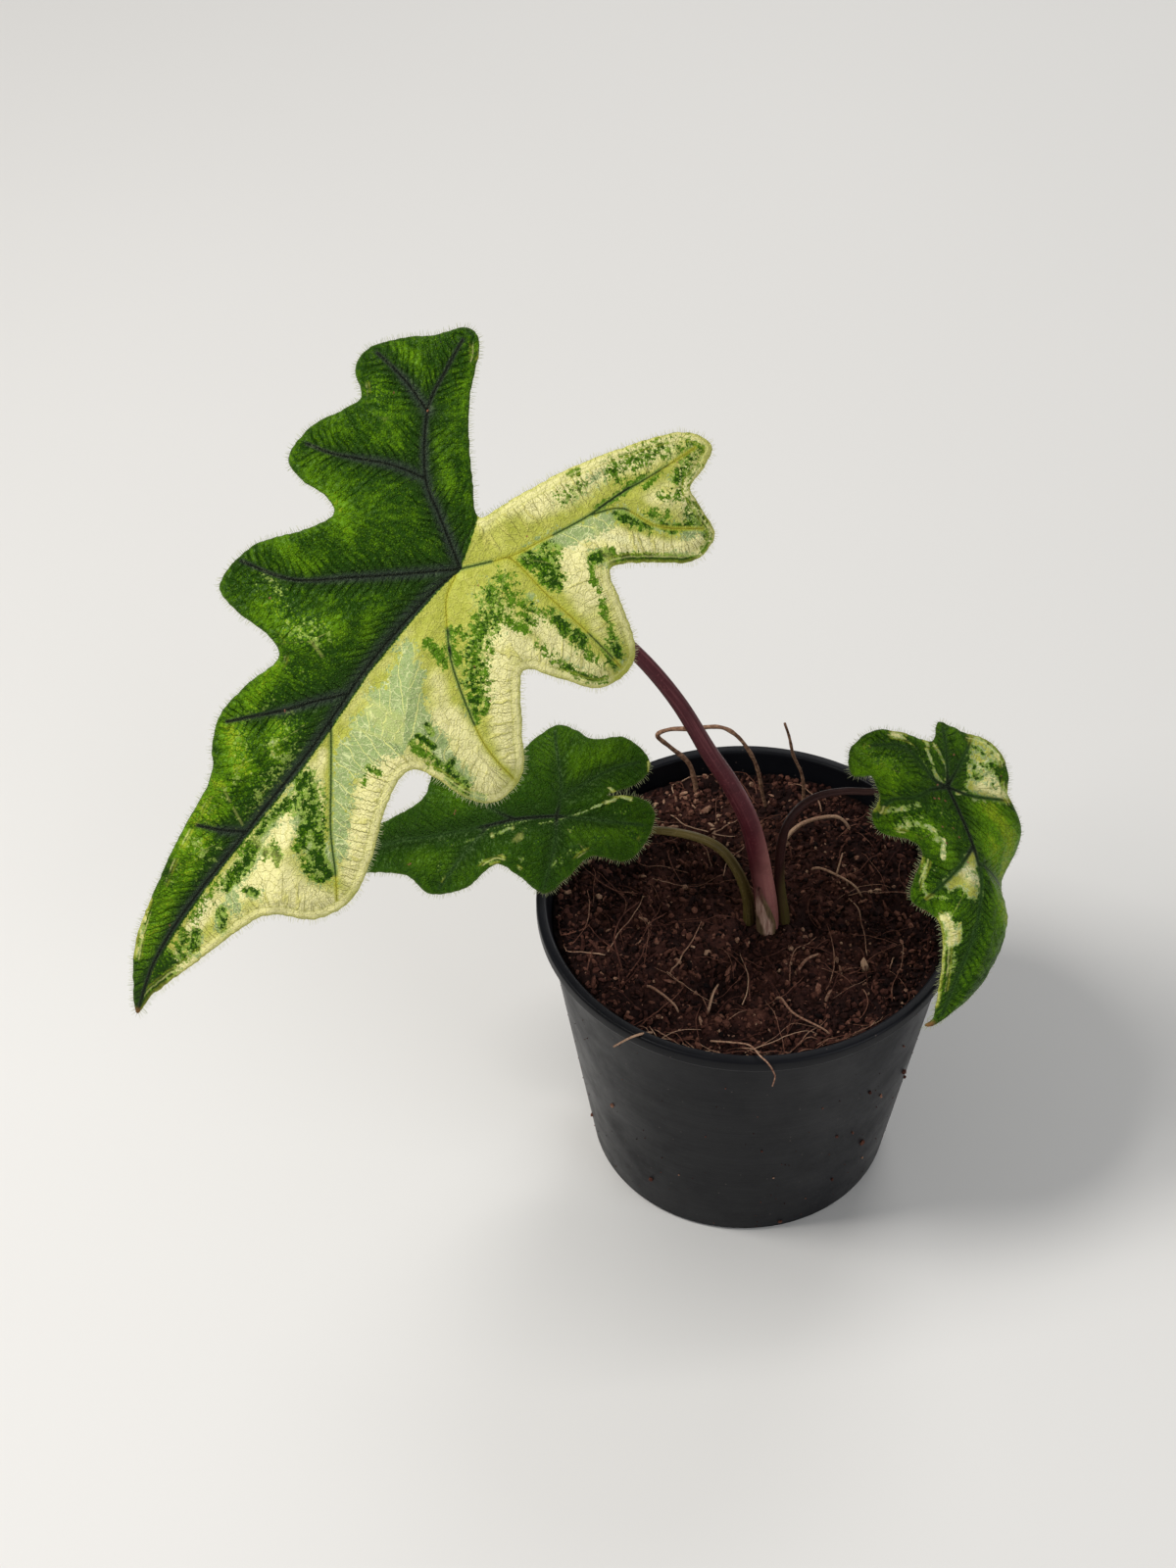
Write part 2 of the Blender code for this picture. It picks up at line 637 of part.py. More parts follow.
def relief(leaf, point, veins, outline):
    """The blade puffs up between its veins and rolls down at its edge."""
    height, width = leaf["puff"]
    drop, reach = leaf["roll"]
    vein = min(distance_to(point, line) for line in veins)
    edge = distance_to(point, outline)
    return height * (1 - math.exp(-(vein / width) ** 2)) - drop * math.exp(-edge / reach)


def make_blade(name, leaf, look):
    step = leaf["step"]
    outline = smooth_loop(leaf["edge"], step * 0.62)
    veins = [smooth_path(line, step) for line in leaf["veins"]]
    closed = [*outline, outline[0]]
    taken = list(outline)
    for line in veins:
        taken += [p for p in line if min((p - q).length for q in taken) > step * 0.5]
    reach = max(p.length for p in outline)
    middle = Vector((0, 30))
    for spot in grid_points(reach, step):
        point = spot + middle
        if min((point - q).length for q in taken) > step * 0.55:
            taken.append(point)
    flat, _, triangles, *_ = delaunay_2d_cdt(taken, [], [list(range(len(outline)))], 1, 1e-6)
    used = sorted({i for t in triangles for i in t})
    place = {old: new for new, old in enumerate(used)}
    half = leaf["thickness"] / 2
    lifts = [relief(leaf, flat[i], veins, closed) for i in used]
    verts = [bent(leaf, flat[i].x, flat[i].y, h + half) for i, h in zip(used, lifts)]
    verts += [bent(leaf, flat[i].x, flat[i].y, h - half) for i, h in zip(used, lifts)]
    count = len(used)
    top = [[place[i] for i in t] for t in triangles]
    under = [[place[i] + count for i in reversed(t)] for t in triangles]
    border = [place[i] for i in range(len(outline))]
    rim = []
    for a, b in zip(border, [*border[1:], border[0]]):
        rim += [[a, a + count, b + count], [a, b + count, b]]
    blade = add_object(name, verts, top + under + rim, look)
    smooth(blade, 60.0)
    return blade


def main():
    clear_scene()
    make_pot()
    stalks = [
        ("petiole_main", MAIN_STALK_ROUTE, MAIN_BLADE, MAIN_STALK_RADII, (0.10, 0.03, 0.035)),
        ("petiole_left", LEFT_STALK_ROUTE, LEFT_BLADE, SIDE_STALK_RADII, (0.10, 0.12, 0.03)),
        ("petiole_right", RIGHT_STALK_ROUTE, RIGHT_BLADE, SIDE_STALK_RADII, (0.08, 0.04, 0.03)),
    ]
    holes = [rootstock_body("root_hole", hole=True), sheath_body("sheath_hole", hole=True),
             loose_root_body("loose_root_hole", hole=True)]
    for name, route, leaf, radii, colour in stalks:
        smooth(stalk_body(name, route, leaf, radii, material(name + "_skin", colour, 0.45)))
        holes.append(stalk_body(name + "_hole", route, leaf, radii, hole=True))
    root_skin = material("root_skin", (0.30, 0.18, 0.10), 0.8)
    smooth(rootstock_body("rootstock", root_skin))
    smooth(loose_root_body("loose_root", root_skin))
    smooth(sheath_body("sheath", material("dry_sheath", (0.42, 0.30, 0.18), 0.8)))
    make_soil(holes)
    green = material("leaf_green", (0.03, 0.12, 0.01), 0.45)
    cream = material("leaf_cream", (0.45, 0.50, 0.10), 0.45)
    make_blade("leaf_main", MAIN_BLADE, cream)
    make_blade("leaf_left", LEFT_BLADE, green)
    make_blade("leaf_right", RIGHT_BLADE, green)


main()
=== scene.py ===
"""Looks of the young potted alocasia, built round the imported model.

Shapes are worked out in millimetres and written as meshes in metres. Each blade is drawn flat in
(u, v), as in the part's source, bent into place, and given finer relief, painted tones and hairs.
"""
import math
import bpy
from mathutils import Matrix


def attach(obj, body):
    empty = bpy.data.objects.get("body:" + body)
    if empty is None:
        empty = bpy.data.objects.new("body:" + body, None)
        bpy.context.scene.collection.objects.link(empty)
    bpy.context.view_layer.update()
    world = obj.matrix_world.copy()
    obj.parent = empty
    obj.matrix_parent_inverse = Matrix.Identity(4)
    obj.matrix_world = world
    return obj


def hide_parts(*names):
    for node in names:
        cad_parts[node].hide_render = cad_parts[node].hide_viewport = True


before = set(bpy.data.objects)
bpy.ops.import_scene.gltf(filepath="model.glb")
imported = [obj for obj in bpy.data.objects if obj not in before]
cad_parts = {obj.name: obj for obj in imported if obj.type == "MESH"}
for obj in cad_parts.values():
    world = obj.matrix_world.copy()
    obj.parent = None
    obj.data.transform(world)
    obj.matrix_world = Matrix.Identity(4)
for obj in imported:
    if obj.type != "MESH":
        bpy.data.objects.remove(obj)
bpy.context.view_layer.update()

from types import SimpleNamespace

import bpy
import numpy as np
from mathutils import Vector, noise
from mathutils.geometry import delaunay_2d_cdt

MM = 0.001

# Camera, fitted to the photograph, in metres
CAMERA_PLACE = (-0.0454, -0.6622, 0.8355)
CAMERA_TILT = math.radians(43.72)
CAMERA_LENS = 81.0
CAMERA_SENSOR = 36.0

# Floor and lights, in metres and watts
FLOOR_REACH = 4.0
FLOOR_DROP = 0.0002
WORLD_GREY = 0.90
WORLD_STRENGTH = 0.26
LIGHT_TARGET = (-0.04, 0.0, 0.15)
# Each light is (name, place, size, power, colour)
LIGHTS = [
    ("key", (-0.75, -0.15, 1.05), 0.40, 13.2, (1.0, 0.98, 0.95)),
    ("fill", (0.9, -0.8, 0.7), 0.9, 6.0, (0.93, 0.96, 1.0)),
    ("back", (0.3, 0.9, 0.8), 0.6, 3.5, (1.0, 1.0, 1.0)),
]

# Pot, as in the part's source
POT_RIM_RADIUS = 60.0
POT_BASE_RADIUS = 43.5
POT_HEIGHT = 97.0
POT_WALL = 1.2
LIP_HEIGHT = 4.2
LIP_OVERHANG = 2.6
LIP_ROUND = 0.9
BASE_THICKNESS = 1.6
BASE_RECESS = 1.4
BASE_MIDDLE_RADIUS = 15.0
FOOT_RING_WIDTH = 5.5
FOOT_CHAMFER = 0.9
DRAIN_COUNT = 8
DRAIN_RADIUS = 4.0
DRAIN_RING_RADIUS = 29.0
POT_SIDES = 160

# Crumbs that cling to the pot's wall
CLINGING_SPECKS = 260
# Each larger one is (degrees round from the viewer, height, size)
CLINGING = [
    (40, 60, 0.9), (47, 52, 0.9), (52, 72, 0.8), (61, 50, 1.5), (30, 44, 0.7), (37, 41, 0.8),
    (44, 30, 1.4), (-50, 44, 1.0), (-36, 16, 1.2), (14, 3, 1.0), (58, 88, 1.3), (68, 40, 1.0),
    (-14, 52, 0.5), (22, 64, 0.5), (4, 46, 0.5), (-24, 26, 0.6), (9, 30, 0.5), (33, 18, 0.8),
    (48, 18, 0.7), (-8, 80, 0.5), (120, 40, 0.9), (150, 22, 0.8), (200, 60, 0.9), (240, 30, 1.0),
    (285, 14, 0.9), (100, 15, 0.7),
]

# Soil
GAP = 0.3
SOIL_EDGE = POT_HEIGHT - 6.5
SOIL_MOUND = 3.0
SOIL_ROUGHNESS = 1.5
SOIL_LUMP = 9.0
SOIL_CRUMB = 4.0
SOIL_GRAIN = 0.95
CRUMB_COUNT = 8000
CHIP_COUNT = 420
FIBRE_COUNT = 140
RIM_FIBRE_COUNT = 26
# Chips placed as they lie: x, y, size, tone
PLACED_CHIPS = [
    (31.5, -21.0, 1.7, 0.98), (20.0, -36.5, 0.9, 0.85), (7.5, -24.0, 0.8, 0.95),
    (-20.5, -7.0, 0.9, 0.8), (15.5, -17.5, 1.3, 0.7), (18.0, -31.0, 1.3, 0.78),
]
# Fibres placed as they lie: radius, tone, route
PLACED_FIBRES = [
    (0.75, 0.95, [(9, 20, 90), (10.5, 23, 94.9), (15, 27.5, 97.0), (21, 30.5, 97.0), (27, 31.5, 96.0),
                  (31, 31, 90)]),
    (0.45, 0.86, [(17, 15, 90), (19.5, 13, 95.0), (24, 10, 96.0), (30, 6, 95.0), (33, 4, 90)]),
    (0.3, 0.9, [(25, 10, 95.6), (26, 13, 97.2), (27, 17, 96.8)]),
    (0.45, 0.85, [(-30, -28, 90), (-28, -30.5, 94.0), (-22, -36.5, 94.0), (-20, -38, 90)]),
    (0.4, 0.83, [(6, -33, 91), (7.5, -35, 94.6), (11, -41, 95.0), (19, -45, 93.2), (22, -46, 90)]),
    (0.3, 0.86, [(-12, -49, 93), (-6, -52.5, 96.6), (-1.6, -54.4, 97.7), (0.9, -58.2, 98.0),
                 (3.2, -60.7, 97.6), (4.6, -61.5, 95.0), (5.1, -61.4, 92.8), (4.5, -61.2, 88.6)]),
    (0.4, 0.9, [(-28, -46, 93), (-30.8, -49.9, 97.2), (-34.3, -52.3, 98.2), (-38.5, -55.6, 98.6)]),
    (0.42, 0.9, [(-12.5, -38, 92), (-11, -34, 95.5), (-9.5, -30, 94.5)]),
    (0.5, 0.85, [(12, -25, 93), (15, -22, 95.6), (18.5, -19, 94.5)]),
    (0.3, 0.6, [(-36, -22, 92), (-38, -14, 95), (-36, -6, 95.4), (-31, 1, 94)]),
]

# Stalks
STALK_FOOT = 84.3
STALK_SIDES = 28
NOSE_SHARE = 0.6
NOSE_CLEARANCE = 0.45
# In the order of their blades. Radii are those of the foot and the top. The foot's colour reaches
# up to a share of the length. Tones are the foot's, the middle's, the head's and the streaks'. The main
# stalk's pink foot is its own colour and a painted highlight on its lit side, where it reaches highest.
STALKS = [
    {
        "node": "petiole_main",
        "slot": "stalk_maroon",
        "radii": (3.0, 1.9),
        "ridges": 0.02,
        "foot_reach": 0.16,
        "tones": [(0.30, 0.12, 0.105), (0.070, 0.0095, 0.015), (0.080, 0.014, 0.020), (0.20, 0.060, 0.066)],
        "route": [
            (5.0, -6.4, STALK_FOOT), (4.6, -6.4, 98.0), (2.1, -7.0, 117.0), (-1.5, -8.0, 136.0),
            (-7.3, -9.0, 152.5), (-13.5, -10.5, 166.5), (-22.5, -12.5, 188.0), (-33.4, -14.5, 207.0),
            (-46.0, -16.5, 222.5), (-60.0, -17.5, 233.0),
        ],
    },
    {
        "node": "petiole_left",
        "slot": "stalk_olive",
        "radii": (1.6, 1.05),
        "ridges": 0.03,
        "foot_reach": 0.16,
        "tones": [(0.080, 0.062, 0.016), (0.115, 0.085, 0.022), (0.14, 0.105, 0.040), (0.27, 0.20, 0.09)],
        "route": [
            (-0.1, -5.4, STALK_FOOT), (-0.2, -4.8, 94.0), (-1.0, -3.8, 102.0), (-4.0, -2.0, 110.5),
            (-8.6, -0.6, 117.5), (-15.0, 0.4, 121.2), (-24.0, 1.6, 122.6), (-36.0, 2.8, 122.6),
        ],
    },
    {
        "node": "petiole_right",
        "slot": "stalk_brown",
        "radii": (1.5, 0.95),
        "ridges": 0.03,
        "foot_reach": 0.18,
        "tones": [(0.080, 0.064, 0.018), (0.026, 0.0085, 0.0075), (0.035, 0.018, 0.010),
                  (0.080, 0.034, 0.028)],
        "route": [
            (9.9, -5.4, STALK_FOOT), (9.6, -4.8, 94.0), (7.9, -4.0, 107.0), (7.6, -4.0, 119.0),
            (8.6, -4.0, 129.5), (11.8, -4.0, 137.5), (16.8, -4.0, 142.4), (24.0, -4.2, 144.6),
            (34.0, -4.4, 144.9),
        ],
    },
]

# Sheath, round the main stalk's foot
CROWN = (5.0, -6.4)
SHEATH_BOTTOM = 85.5
SHEATH_TOP = 111.0
SHEATH_INNER_RADIUS = 3.35
SHEATH_THICKNESS = 0.6
SHEATH_ROWS = 40
SHEATH_COLUMNS = 28

# Loose root
LOOSE_ROOT_RADIUS = 0.75
LOOSE_ROOT_ROUTE = [
    (-13, 46, 84), (-14.5, 47.5, 95), (-16.5, 48, 102), (-21.5, 48, 108), (-25.5, 47, 114),
    (-22, 46, 117.5), (-16, 45, 118.8), (-8, 44, 120.5), (-3, 43, 118), (1, 42, 112),
    (3.5, 41.5, 105), (5.5, 40.5, 94), (8, 40, 86), (12.5, 40.5, 83.5), (16.5, 42, 87),
    (17, 43, 96), (16, 43, 103), (13.5, 43, 110), (12, 43, 117.5), (10.5, 43, 123),
]

# Blades, as in the part's source
COMB_GAP = 2.7
HAIR_SPACING = 0.5
NO_BEND = (0.0, 1.0)

# u runs across, + on the viewer's left, and v from the stalk to the tip. A bend or fold is its degrees
# and the length it takes, curl those of the two sides and their reach, and bow its depth and length.
# Puff, roll and quilt are a height and a width. Strokes, in flat millimetres, are read by painted(): upper
# and lower are the two layers of green, pale is cream, fade where green gets paler, glow where it is
# younger and yellower, with painted light on lit patches, and dark where main veins are inked. Wash is how
# strong the fade strokes are and what they take from the lower layer. Bright, added to all the glow, is
# painted light over a whole blade, painted shade below 0. Smoke scales the main veins' dark halos and
# their painted grey sheen. Border is (v, u) places on the line between the green half and the other.
MAIN_BLADE = {
    "node": "leaf_main",
    "slot": "leaf_variegated",
    "crisp": 1.0,
    "hair_seed": 41,
    "junction": (-77.0, -20.0, 241.0),
    "towards_tip": (-79.5, -80.5, -75.5),
    "facing": (0.055, -0.71, 0.70),
    "thickness": 0.55,
    "step": 0.56,
    "tip_bend": (22.0, 140.0),
    "back_bend": (14.0, 70.0),
    "cup": 8.0,
    "curl": (22.0, 26.0, 55.0),
    "puff": (4.2, 13.0),
    "roll": (1.6, 3.0),
    "rib": 1.0,
    "quilt": (0.26, 2.4),
    "wash": (1.0, 1.35),
    "bright": 0.02,
    "smoke": 1.0,
    "edge": [
        (4, -13),
        (10.5, -19.5), (18.5, -29), (23.5, -37), (28, -47), (31.5, -50.5), (35.5, -49.5),
        (40, -43.5), (47, -38), (52, -32), (51, -25.5), (45, -20.5),
        (47, -15), (52, -7), (52, 2), (46, 5), (37.5, 5), (33, 7.5),
        (37, 15), (46, 26), (47, 38), (39.5, 41), (29, 41), (23.5, 44),
        (26, 53.5), (27.5, 64.5), (24.5, 72), (20, 78.5),
        (18.5, 92.5), (15.5, 109.5), (12, 125), (6, 136.5),
        (0.5, 143.5),
        (0, 135.5), (-4, 121), (-9, 103.5), (-13, 97.5),
        (-22, 93), (-26.5, 84.5), (-24.5, 72.5), (-19.5, 58.5), (-18.5, 48),
        (-25, 45.5), (-34.5, 45.5), (-42, 42), (-43.5, 33), (-36, 23.5), (-29, 15), (-27.5, 10.5),
        (-36, 7.5), (-46.5, 3.5), (-50.5, -4.5), (-47, -11), (-37, -17), (-30, -22),
        (-37, -29), (-47, -37), (-48, -46), (-40.5, -49), (-35, -51),
        (-35, -58), (-33, -63.5), (-25.5, -61.5), (-17, -51), (-7.5, -36), (0.5, -19.5),
    ],
    # Each main vein is (lean of its side veins, points)
    "veins": [
        (1.0, [(0, 0), (2, 8), (3.6, 20), (4.5, 34), (4.2, 48), (4, 60), (4.6, 75), (5.3, 90),
               (5.9, 105), (5.8, 118), (4.3, 130), (0.8, 142)]),
        (0.9, [(0, 0), (11.8, -7.5), (20.5, -13.5), (29.5, -27), (31.8, -38), (33, -47)]),
        (0.8, [(29.5, -27), (39, -30.3), (49, -32.3)]),
        (0.8, [(20, -13), (29, -10.8), (42, -5), (50, -3)]),
        (0.8, [(0, 0), (11.8, 10.2), (21, 17.8), (29.5, 24.8), (36, 28), (46, 30.5)]),
        (0.9, [(4.3, 41), (10.3, 48), (15, 54), (20.5, 60), (25, 65)]),
        (0.9, [(5.2, 85), (10, 88), (16, 91)]),
        (0.9, [(0, 0), (-8, -9.5), (-12, -17), (-17.5, -28), (-21, -38), (-25, -47), (-30, -60)]),
        (0.8, [(-18.5, -30), (-24, -36), (-34, -38), (-44, -45)]),
        (0.8, [(-7, -8.5), (-10, -9.3), (-21, -7.4), (-34, -6), (-48, -4)]),
        (0.9, [(0, 2), (-1.5, 8), (-7, 15), (-13, 21), (-25, 29), (-33, 32.8), (-42.5, 35)]),
        (0.9, [(3.6, 50), (0, 55), (-5, 62), (-12, 72), (-19, 80), (-23.5, 86)]),
    ],
    "upper": """
        .82 3.0 -10,1 -13,5 -13,10 -14,14 -18,19 -22,24 | .80 2.4 -10,-4 -14,-2 -18,-1 -21,0
        1.1 1.2 -14,4 -17.5,3.5 -21.5,2.8 | 1.1 .9 -10,7.5 -12.5,8 | 1.0 .8 -16,10.5 -18,12
        1.0 .9 -8.5,12 -11,13.5 | 1.2 1.1 -6.5,13.5 -8,15 | 1.3 1.2 -9.5,17.5 -12.5,18.5
        1.0 .8 -15,15 -18,16.5 | .95 .8 -20,16 -21,19 | 1.5 1.0 -4.3,19.6 -7,20 -10,20.8
        1.2 .8 -9,21.3 -11,21.8 | 1.1 .8 -20.5,23.5 -24,27 -25.5,28 | 1.0 .8 -24.5,22 -25.5,25.5
        .95 2.4 -12.5,-11 -16,-12.5 -20,-12 | 1.15 1.3 -13.5,-12.5 -16.5,-13.5 -17,-11
        1.1 1.1 -18,-9.5 -20.5,-9.8 -22,-11 | .75 1.8 -14,-16 -17,-17 | .8 1.7 -24,-4 -30,-3.5 -36,-2
        1.2 1.1 -27,-4 -29,-3 -30.5,-2 | 1.05 .9 -32.5,-4.5 -35.5,-3.8
        1.0 1.0 -37,-2 -39.5,-1.2 -41,-1.5 | 1.1 1.3 -43,-7.5 -45,-6 | 1.0 1.0 -44.5,-4 -46.5,-3.5
        .8 1.7 -41,-9 -43,-3 | .95 1.0 -33.5,4.6 -38,4.2 -42,3.4 -46,1.2 | .72 1.3 -26,4.4 -32,4.6
        .9 .9 -33,-14 -35,-13 | 1.0 .9 -35.5,-12 -37.5,-11 | .7 .9 -39,-10 -41,-8.5
        1.15 1.1 -25,-21.3 -26.5,-23.5 -27.5,-25.3 | 1.15 1.2 -28,-25 -30,-23.5
        1.0 .9 -25.5,-19 -28,-17 -30.5,-15.8 | 1.3 .9 -47.5,-37.5 -43,-34 -39.5,-32 -34,-28.5 -30.5,-25.5
        .70 3.2 -18,-43 -20,-49 -23,-55 | 1.0 .8 -22,-53.5 -22.5,-52 | 1.0 .9 -16,-42 -17,-42.8
        .95 .9 -17,-47.5 -19.5,-48 | 1.1 .9 -8.5,-35 -9.8,-36.5 | .58 2.0 -10,-29 -12,-34
        .74 2.8 -28,-59 -31,-56 -32.5,-51 | 1.0 .8 -30.5,-61 -32,-61 | 1.0 .9 -29.5,-52 -31,-50
        1.05 .9 -29,-44.5 -32,-45 | .74 2.4 -33,-48 -39,-48 -44,-47
        1.2 .8 -19,-32.5 -20.5,-36 -22,-41 -23.5,-46 | 1.15 .7 -25.3,-43.5 -26,-49.5
        .8 1.3 -24.5,-34 -28,-35 -32,-36 | 1.0 .9 -25,-33.5 -28,-34 | 1.0 .9 -34,-39 -37.5,-39.5
        .9 1.0 -38,-41 -40.5,-43.5 | 1.0 1.1 -46.5,-45 -47.6,-41 | .8 1.4 -30,-39.5 -34,-41
        1.3 .6 -15.8,39.4 -20,39.4 | 1.2 1.1 -16.3,41.7 -20,42.4 | .95 1.2 -21,42.5 -25,43
        .7 .9 -26,40 -26.2,43 | .7 1.5 -27,42.5 -33,43.5 | .6 .8 -16,36 -18,37
        1.0 .8 -10.7,53 -13.3,52.8 | .8 .6 -11.3,55.5 -11.7,57.5 | .90 2.2 1.5,64 .5,69 0,73
        .84 2.5 -3,67 -6,71 -9,74 | 1.15 1.2 1.2,65.5 .8,68 | 1.0 .8 1.8,70 1.8,78
        1.1 1.2 -6.5,75 -8,79.5 | .9 1.2 -10,74.5 -12.5,78 | 1.1 1.4 -12.5,79 -15.5,80.5 -17.8,81.5
        .85 1.1 -10.5,81.5 -14,83.5 -17.5,83.3 | .95 1.2 -2.8,82.8 -4.8,84.3 -5.3,86
        .9 .8 -2,85.5 -3,87.5 | .9 1.0 2.5,82 2.6,88 | .95 1.8 1.8,87 .8,92 1.2,96
        .75 1.8 2.6,74 3,82 3.4,90 | 1.1 .8 1.5,94 .8,97.5 .5,100 | .7 1.2 -4,96.5 -6,95.5
        .75 1.4 -2,105.5 -4.5,108 | .8 1.5 3.6,99 3.4,106 2.8,112 | .95 1.2 .5,114.6 -1.5,118
        .95 1.2 3.2,116.5 1.5,119 | 1.3 2.4 3,125 1.5,129 1,134 1,141 | .9 1.3 2.5,120 -1.2,122""",
    "lower": """
        .62 3.4 -10,1 -14,6 -14,12 -18,19 -22,24 | .9 2.4 -12.5,-13 -17,-14 -20,-11
        1.15 2.0 -13.5,-17.5 -17,-22 -20,-27 -22,-31 | .6 1.8 -18,-4 -21,-1 | .7 2.0 -27,-4 -35,-3
        .75 2.0 -43,-7 -46,-4 | .6 1.5 -34,4 -42,3 | .5 2.6 -11,-29 -13,-36 -17,-44
        .55 2.6 -20,-50 -24,-55 | .8 2.0 -24,-34.5 -30,-36.5 -37,-40 | .95 2.0 -40,-46 -43.5,-45 -41,-42
        .9 1.3 -47,-38 -39,-32 -31,-26 | .9 1.8 -25,-22 -29,-23 | .6 2.4 -30,-58 -31,-50
        1.3 2.4 -5.5,28 -8,33 -7,38 | 1.35 3.0 -3.5,38 -7,37 -11,36 | 1.3 2.2 -10.5,34 -15.5,37 -21,38.5
        1.2 2.0 -20,38.5 -26,40.5 -31,42 | 1.2 1.0 -28,43.6 -33,44.4 -38,43.5
        1.15 2.8 -4,42 -8,41 -10.5,45 | 1.3 3.4 -5,31 -8,38 -9,46 -6,54 | 1.2 2.8 -13,36 -12,44
        .85 2.6 -1,24 -4,28 | 1.1 1.8 -2.8,53 -7.6,61.5 -13.5,70 -17,75 | 1.2 2.6 -3.5,46 -6,50 -5.5,56
        .9 2.2 -6,56 -9,62 | .8 2.6 -9,61 -12,67 -15,73 | 1.15 3.2 1,66 -4,71 -9,76 -16,81
        .95 2.2 2,70 2,82 0,92 1,99 | .8 1.5 -2,86 -5,84 | .95 1.8 0,99.5 -4,102.5
        .9 1.4 -4.5,96.5 -6.6,95.5 | 1.0 1.6 -1.8,105 -4.2,109 | .95 1.6 .5,114.6 -2,119
        1.3 3 2,127 1,141 | .6 1.8 2.5,117 0,123""",
    # Among the pale strokes, .88 5 -20,31 -30,35 -38,37 is painted light as well as cream: it brightens a
    # lobe that curls away from the lights
    "pale": """
        1.1 3.2 -19.4,-20 -20.5,-24 -24,-27.5 -31,-30.5 -39.5,-34.5 -44,-39 -45.5,-42.5
        .9 3.4 -20,-19 -24,-16.5 -30,-13.5 | .6 3.4 -24,-12 -33,-9.5 -40,-7 | .75 6 -6,-26 -13,-40 -24,-54
        .6 5 -28,-45 -36,-46 -42,-45 | .7 3 -29,-60 -31,-52
        1.0 3.2 -18.5,6.5 -20.5,13 -26,21 -32,26 -38,31.5 | .75 4 -29,24 -37,33
        .88 5 -20,31 -30,35 -38,37 | .65 3.4 -24,-1 -33,1 -43,-1 | .65 3 -23,7 -30,5.5
        .6 3 -12,25 -18,30 | .8 1.5 -7.5,47 -8.5,50 | .8 4.4 -12,48 -15,58 -18,68 -21,78
        .5 2.4 1.5,20 2.5,34 2,46 | .75 2.2 1,57 -3,64 -8,71 | 1.1 2.2 -1.5,76.5 -3.5,80.5
        .7 4 1,62 1,74 1,90 1,104 | 1.0 1.8 -5,75.5 -9,77 | .85 4.5 -4,89 -9,91 -16,90 -22,87
        .8 3 -2,97 -6,94 | 1.1 2.2 3,105.5 2,110 2,114 | .9 1.2 1.5,121.5 0,123.5
        1.0 1.0 -2.4,119 -1.2,129""",
    "fade": """
        .60 2.6 7,60 8,70 7,78 | .5 2.2 9,92 8,102 | .55 2 33,30 38,30 | .68 2.2 12.5,61.5 10.5,64
        .50 3.4 13,55 8,60 | .45 3 20,66 14,71 | .52 1.8 15,70 14.5,80 | .48 2.4 8,68 4.5,70
        .52 1.6 8.5,79.5 7.5,81 | .62 2.6 14,95 11,96 | .50 2.2 15,84 14,90 | .45 2 14,102 12,107
        .9 .8 15,114.5 12.5,121 9,129.5 | .58 3.2 24,36 21,33 17,34 | .42 3.2 30,33 22,36
        .35 2.5 34,34 40,33 | .3 2.5 28,-45 31,-46 | .38 2.4 20,44 12,44 | .42 3 9,74 8,84
        .40 2.4 18,52 22,62 | .3 3 44,-24 38,-20""",
    # Glow strokes: younger, yellower green, and painted light on the lit patches
    "glow": """
        .35 2.6 44,-24 40,-21 35,-18 | 1.0 3 37,4 31,6 28,9 | .9 3 43,20 36,22 30,22
        .8 3.5 34,36 26,38 20,34 16,30 | .45 3 45,-37 38,-33 | .4 3.5 28,-47 26,-38 22,-28
        .4 3 21,-21 15,-13 | .3 3.5 38,-15 31,-18 | .6 3.5 47,-10 44,2 38,1 | .5 3 11,22 8,30
        1.1 3.5 24,46 23,56 20,68 | 1.7 3.8 23,65 19,69 15,72 | 1.5 3.6 17,79 17,90 15,97
        1.2 3.2 14,58 10,64 | 1.3 3.2 14,84 11,104 | 1.25 3.2 11,110 8,128 | .5 2 28,5 28,-2""",
    "dark": """
        1.0 1.6 0,0 -2.5,-3 -4.5,-5.5 | .9 1.2 -14,-21 -18,-29 -22,-40 -26,-52 | .8 1.2 -19,-31 -25,-36.5
        1.0 1.2 -6.5,14.5 -13,21 -25,29 | .75 1.2 -36,-5.8 -44,-4.5 | 1.0 1.2 3,51 -5,62 -12,72 -19,80""",
    "spots": "29.5,-27 14.7,54 34,33.5 -6,.7 -8.7,-16.2 -37.7,34.7 -25,22 -17,17.5 -28.5,-54 7,117 39,-26",
    "border": [(-60, 8), (-20, 5.5), (-13, 4), (0, 0), (8, 1.4), (20, 2.5), (34, 3.3), (48, 2.9), (60, 2.7),
               (75, 3.5), (90, 4.4), (105, 5), (118, 4.9), (130, 3.8), (142, 0.8)],
    "tip_brown": 0.9,
}

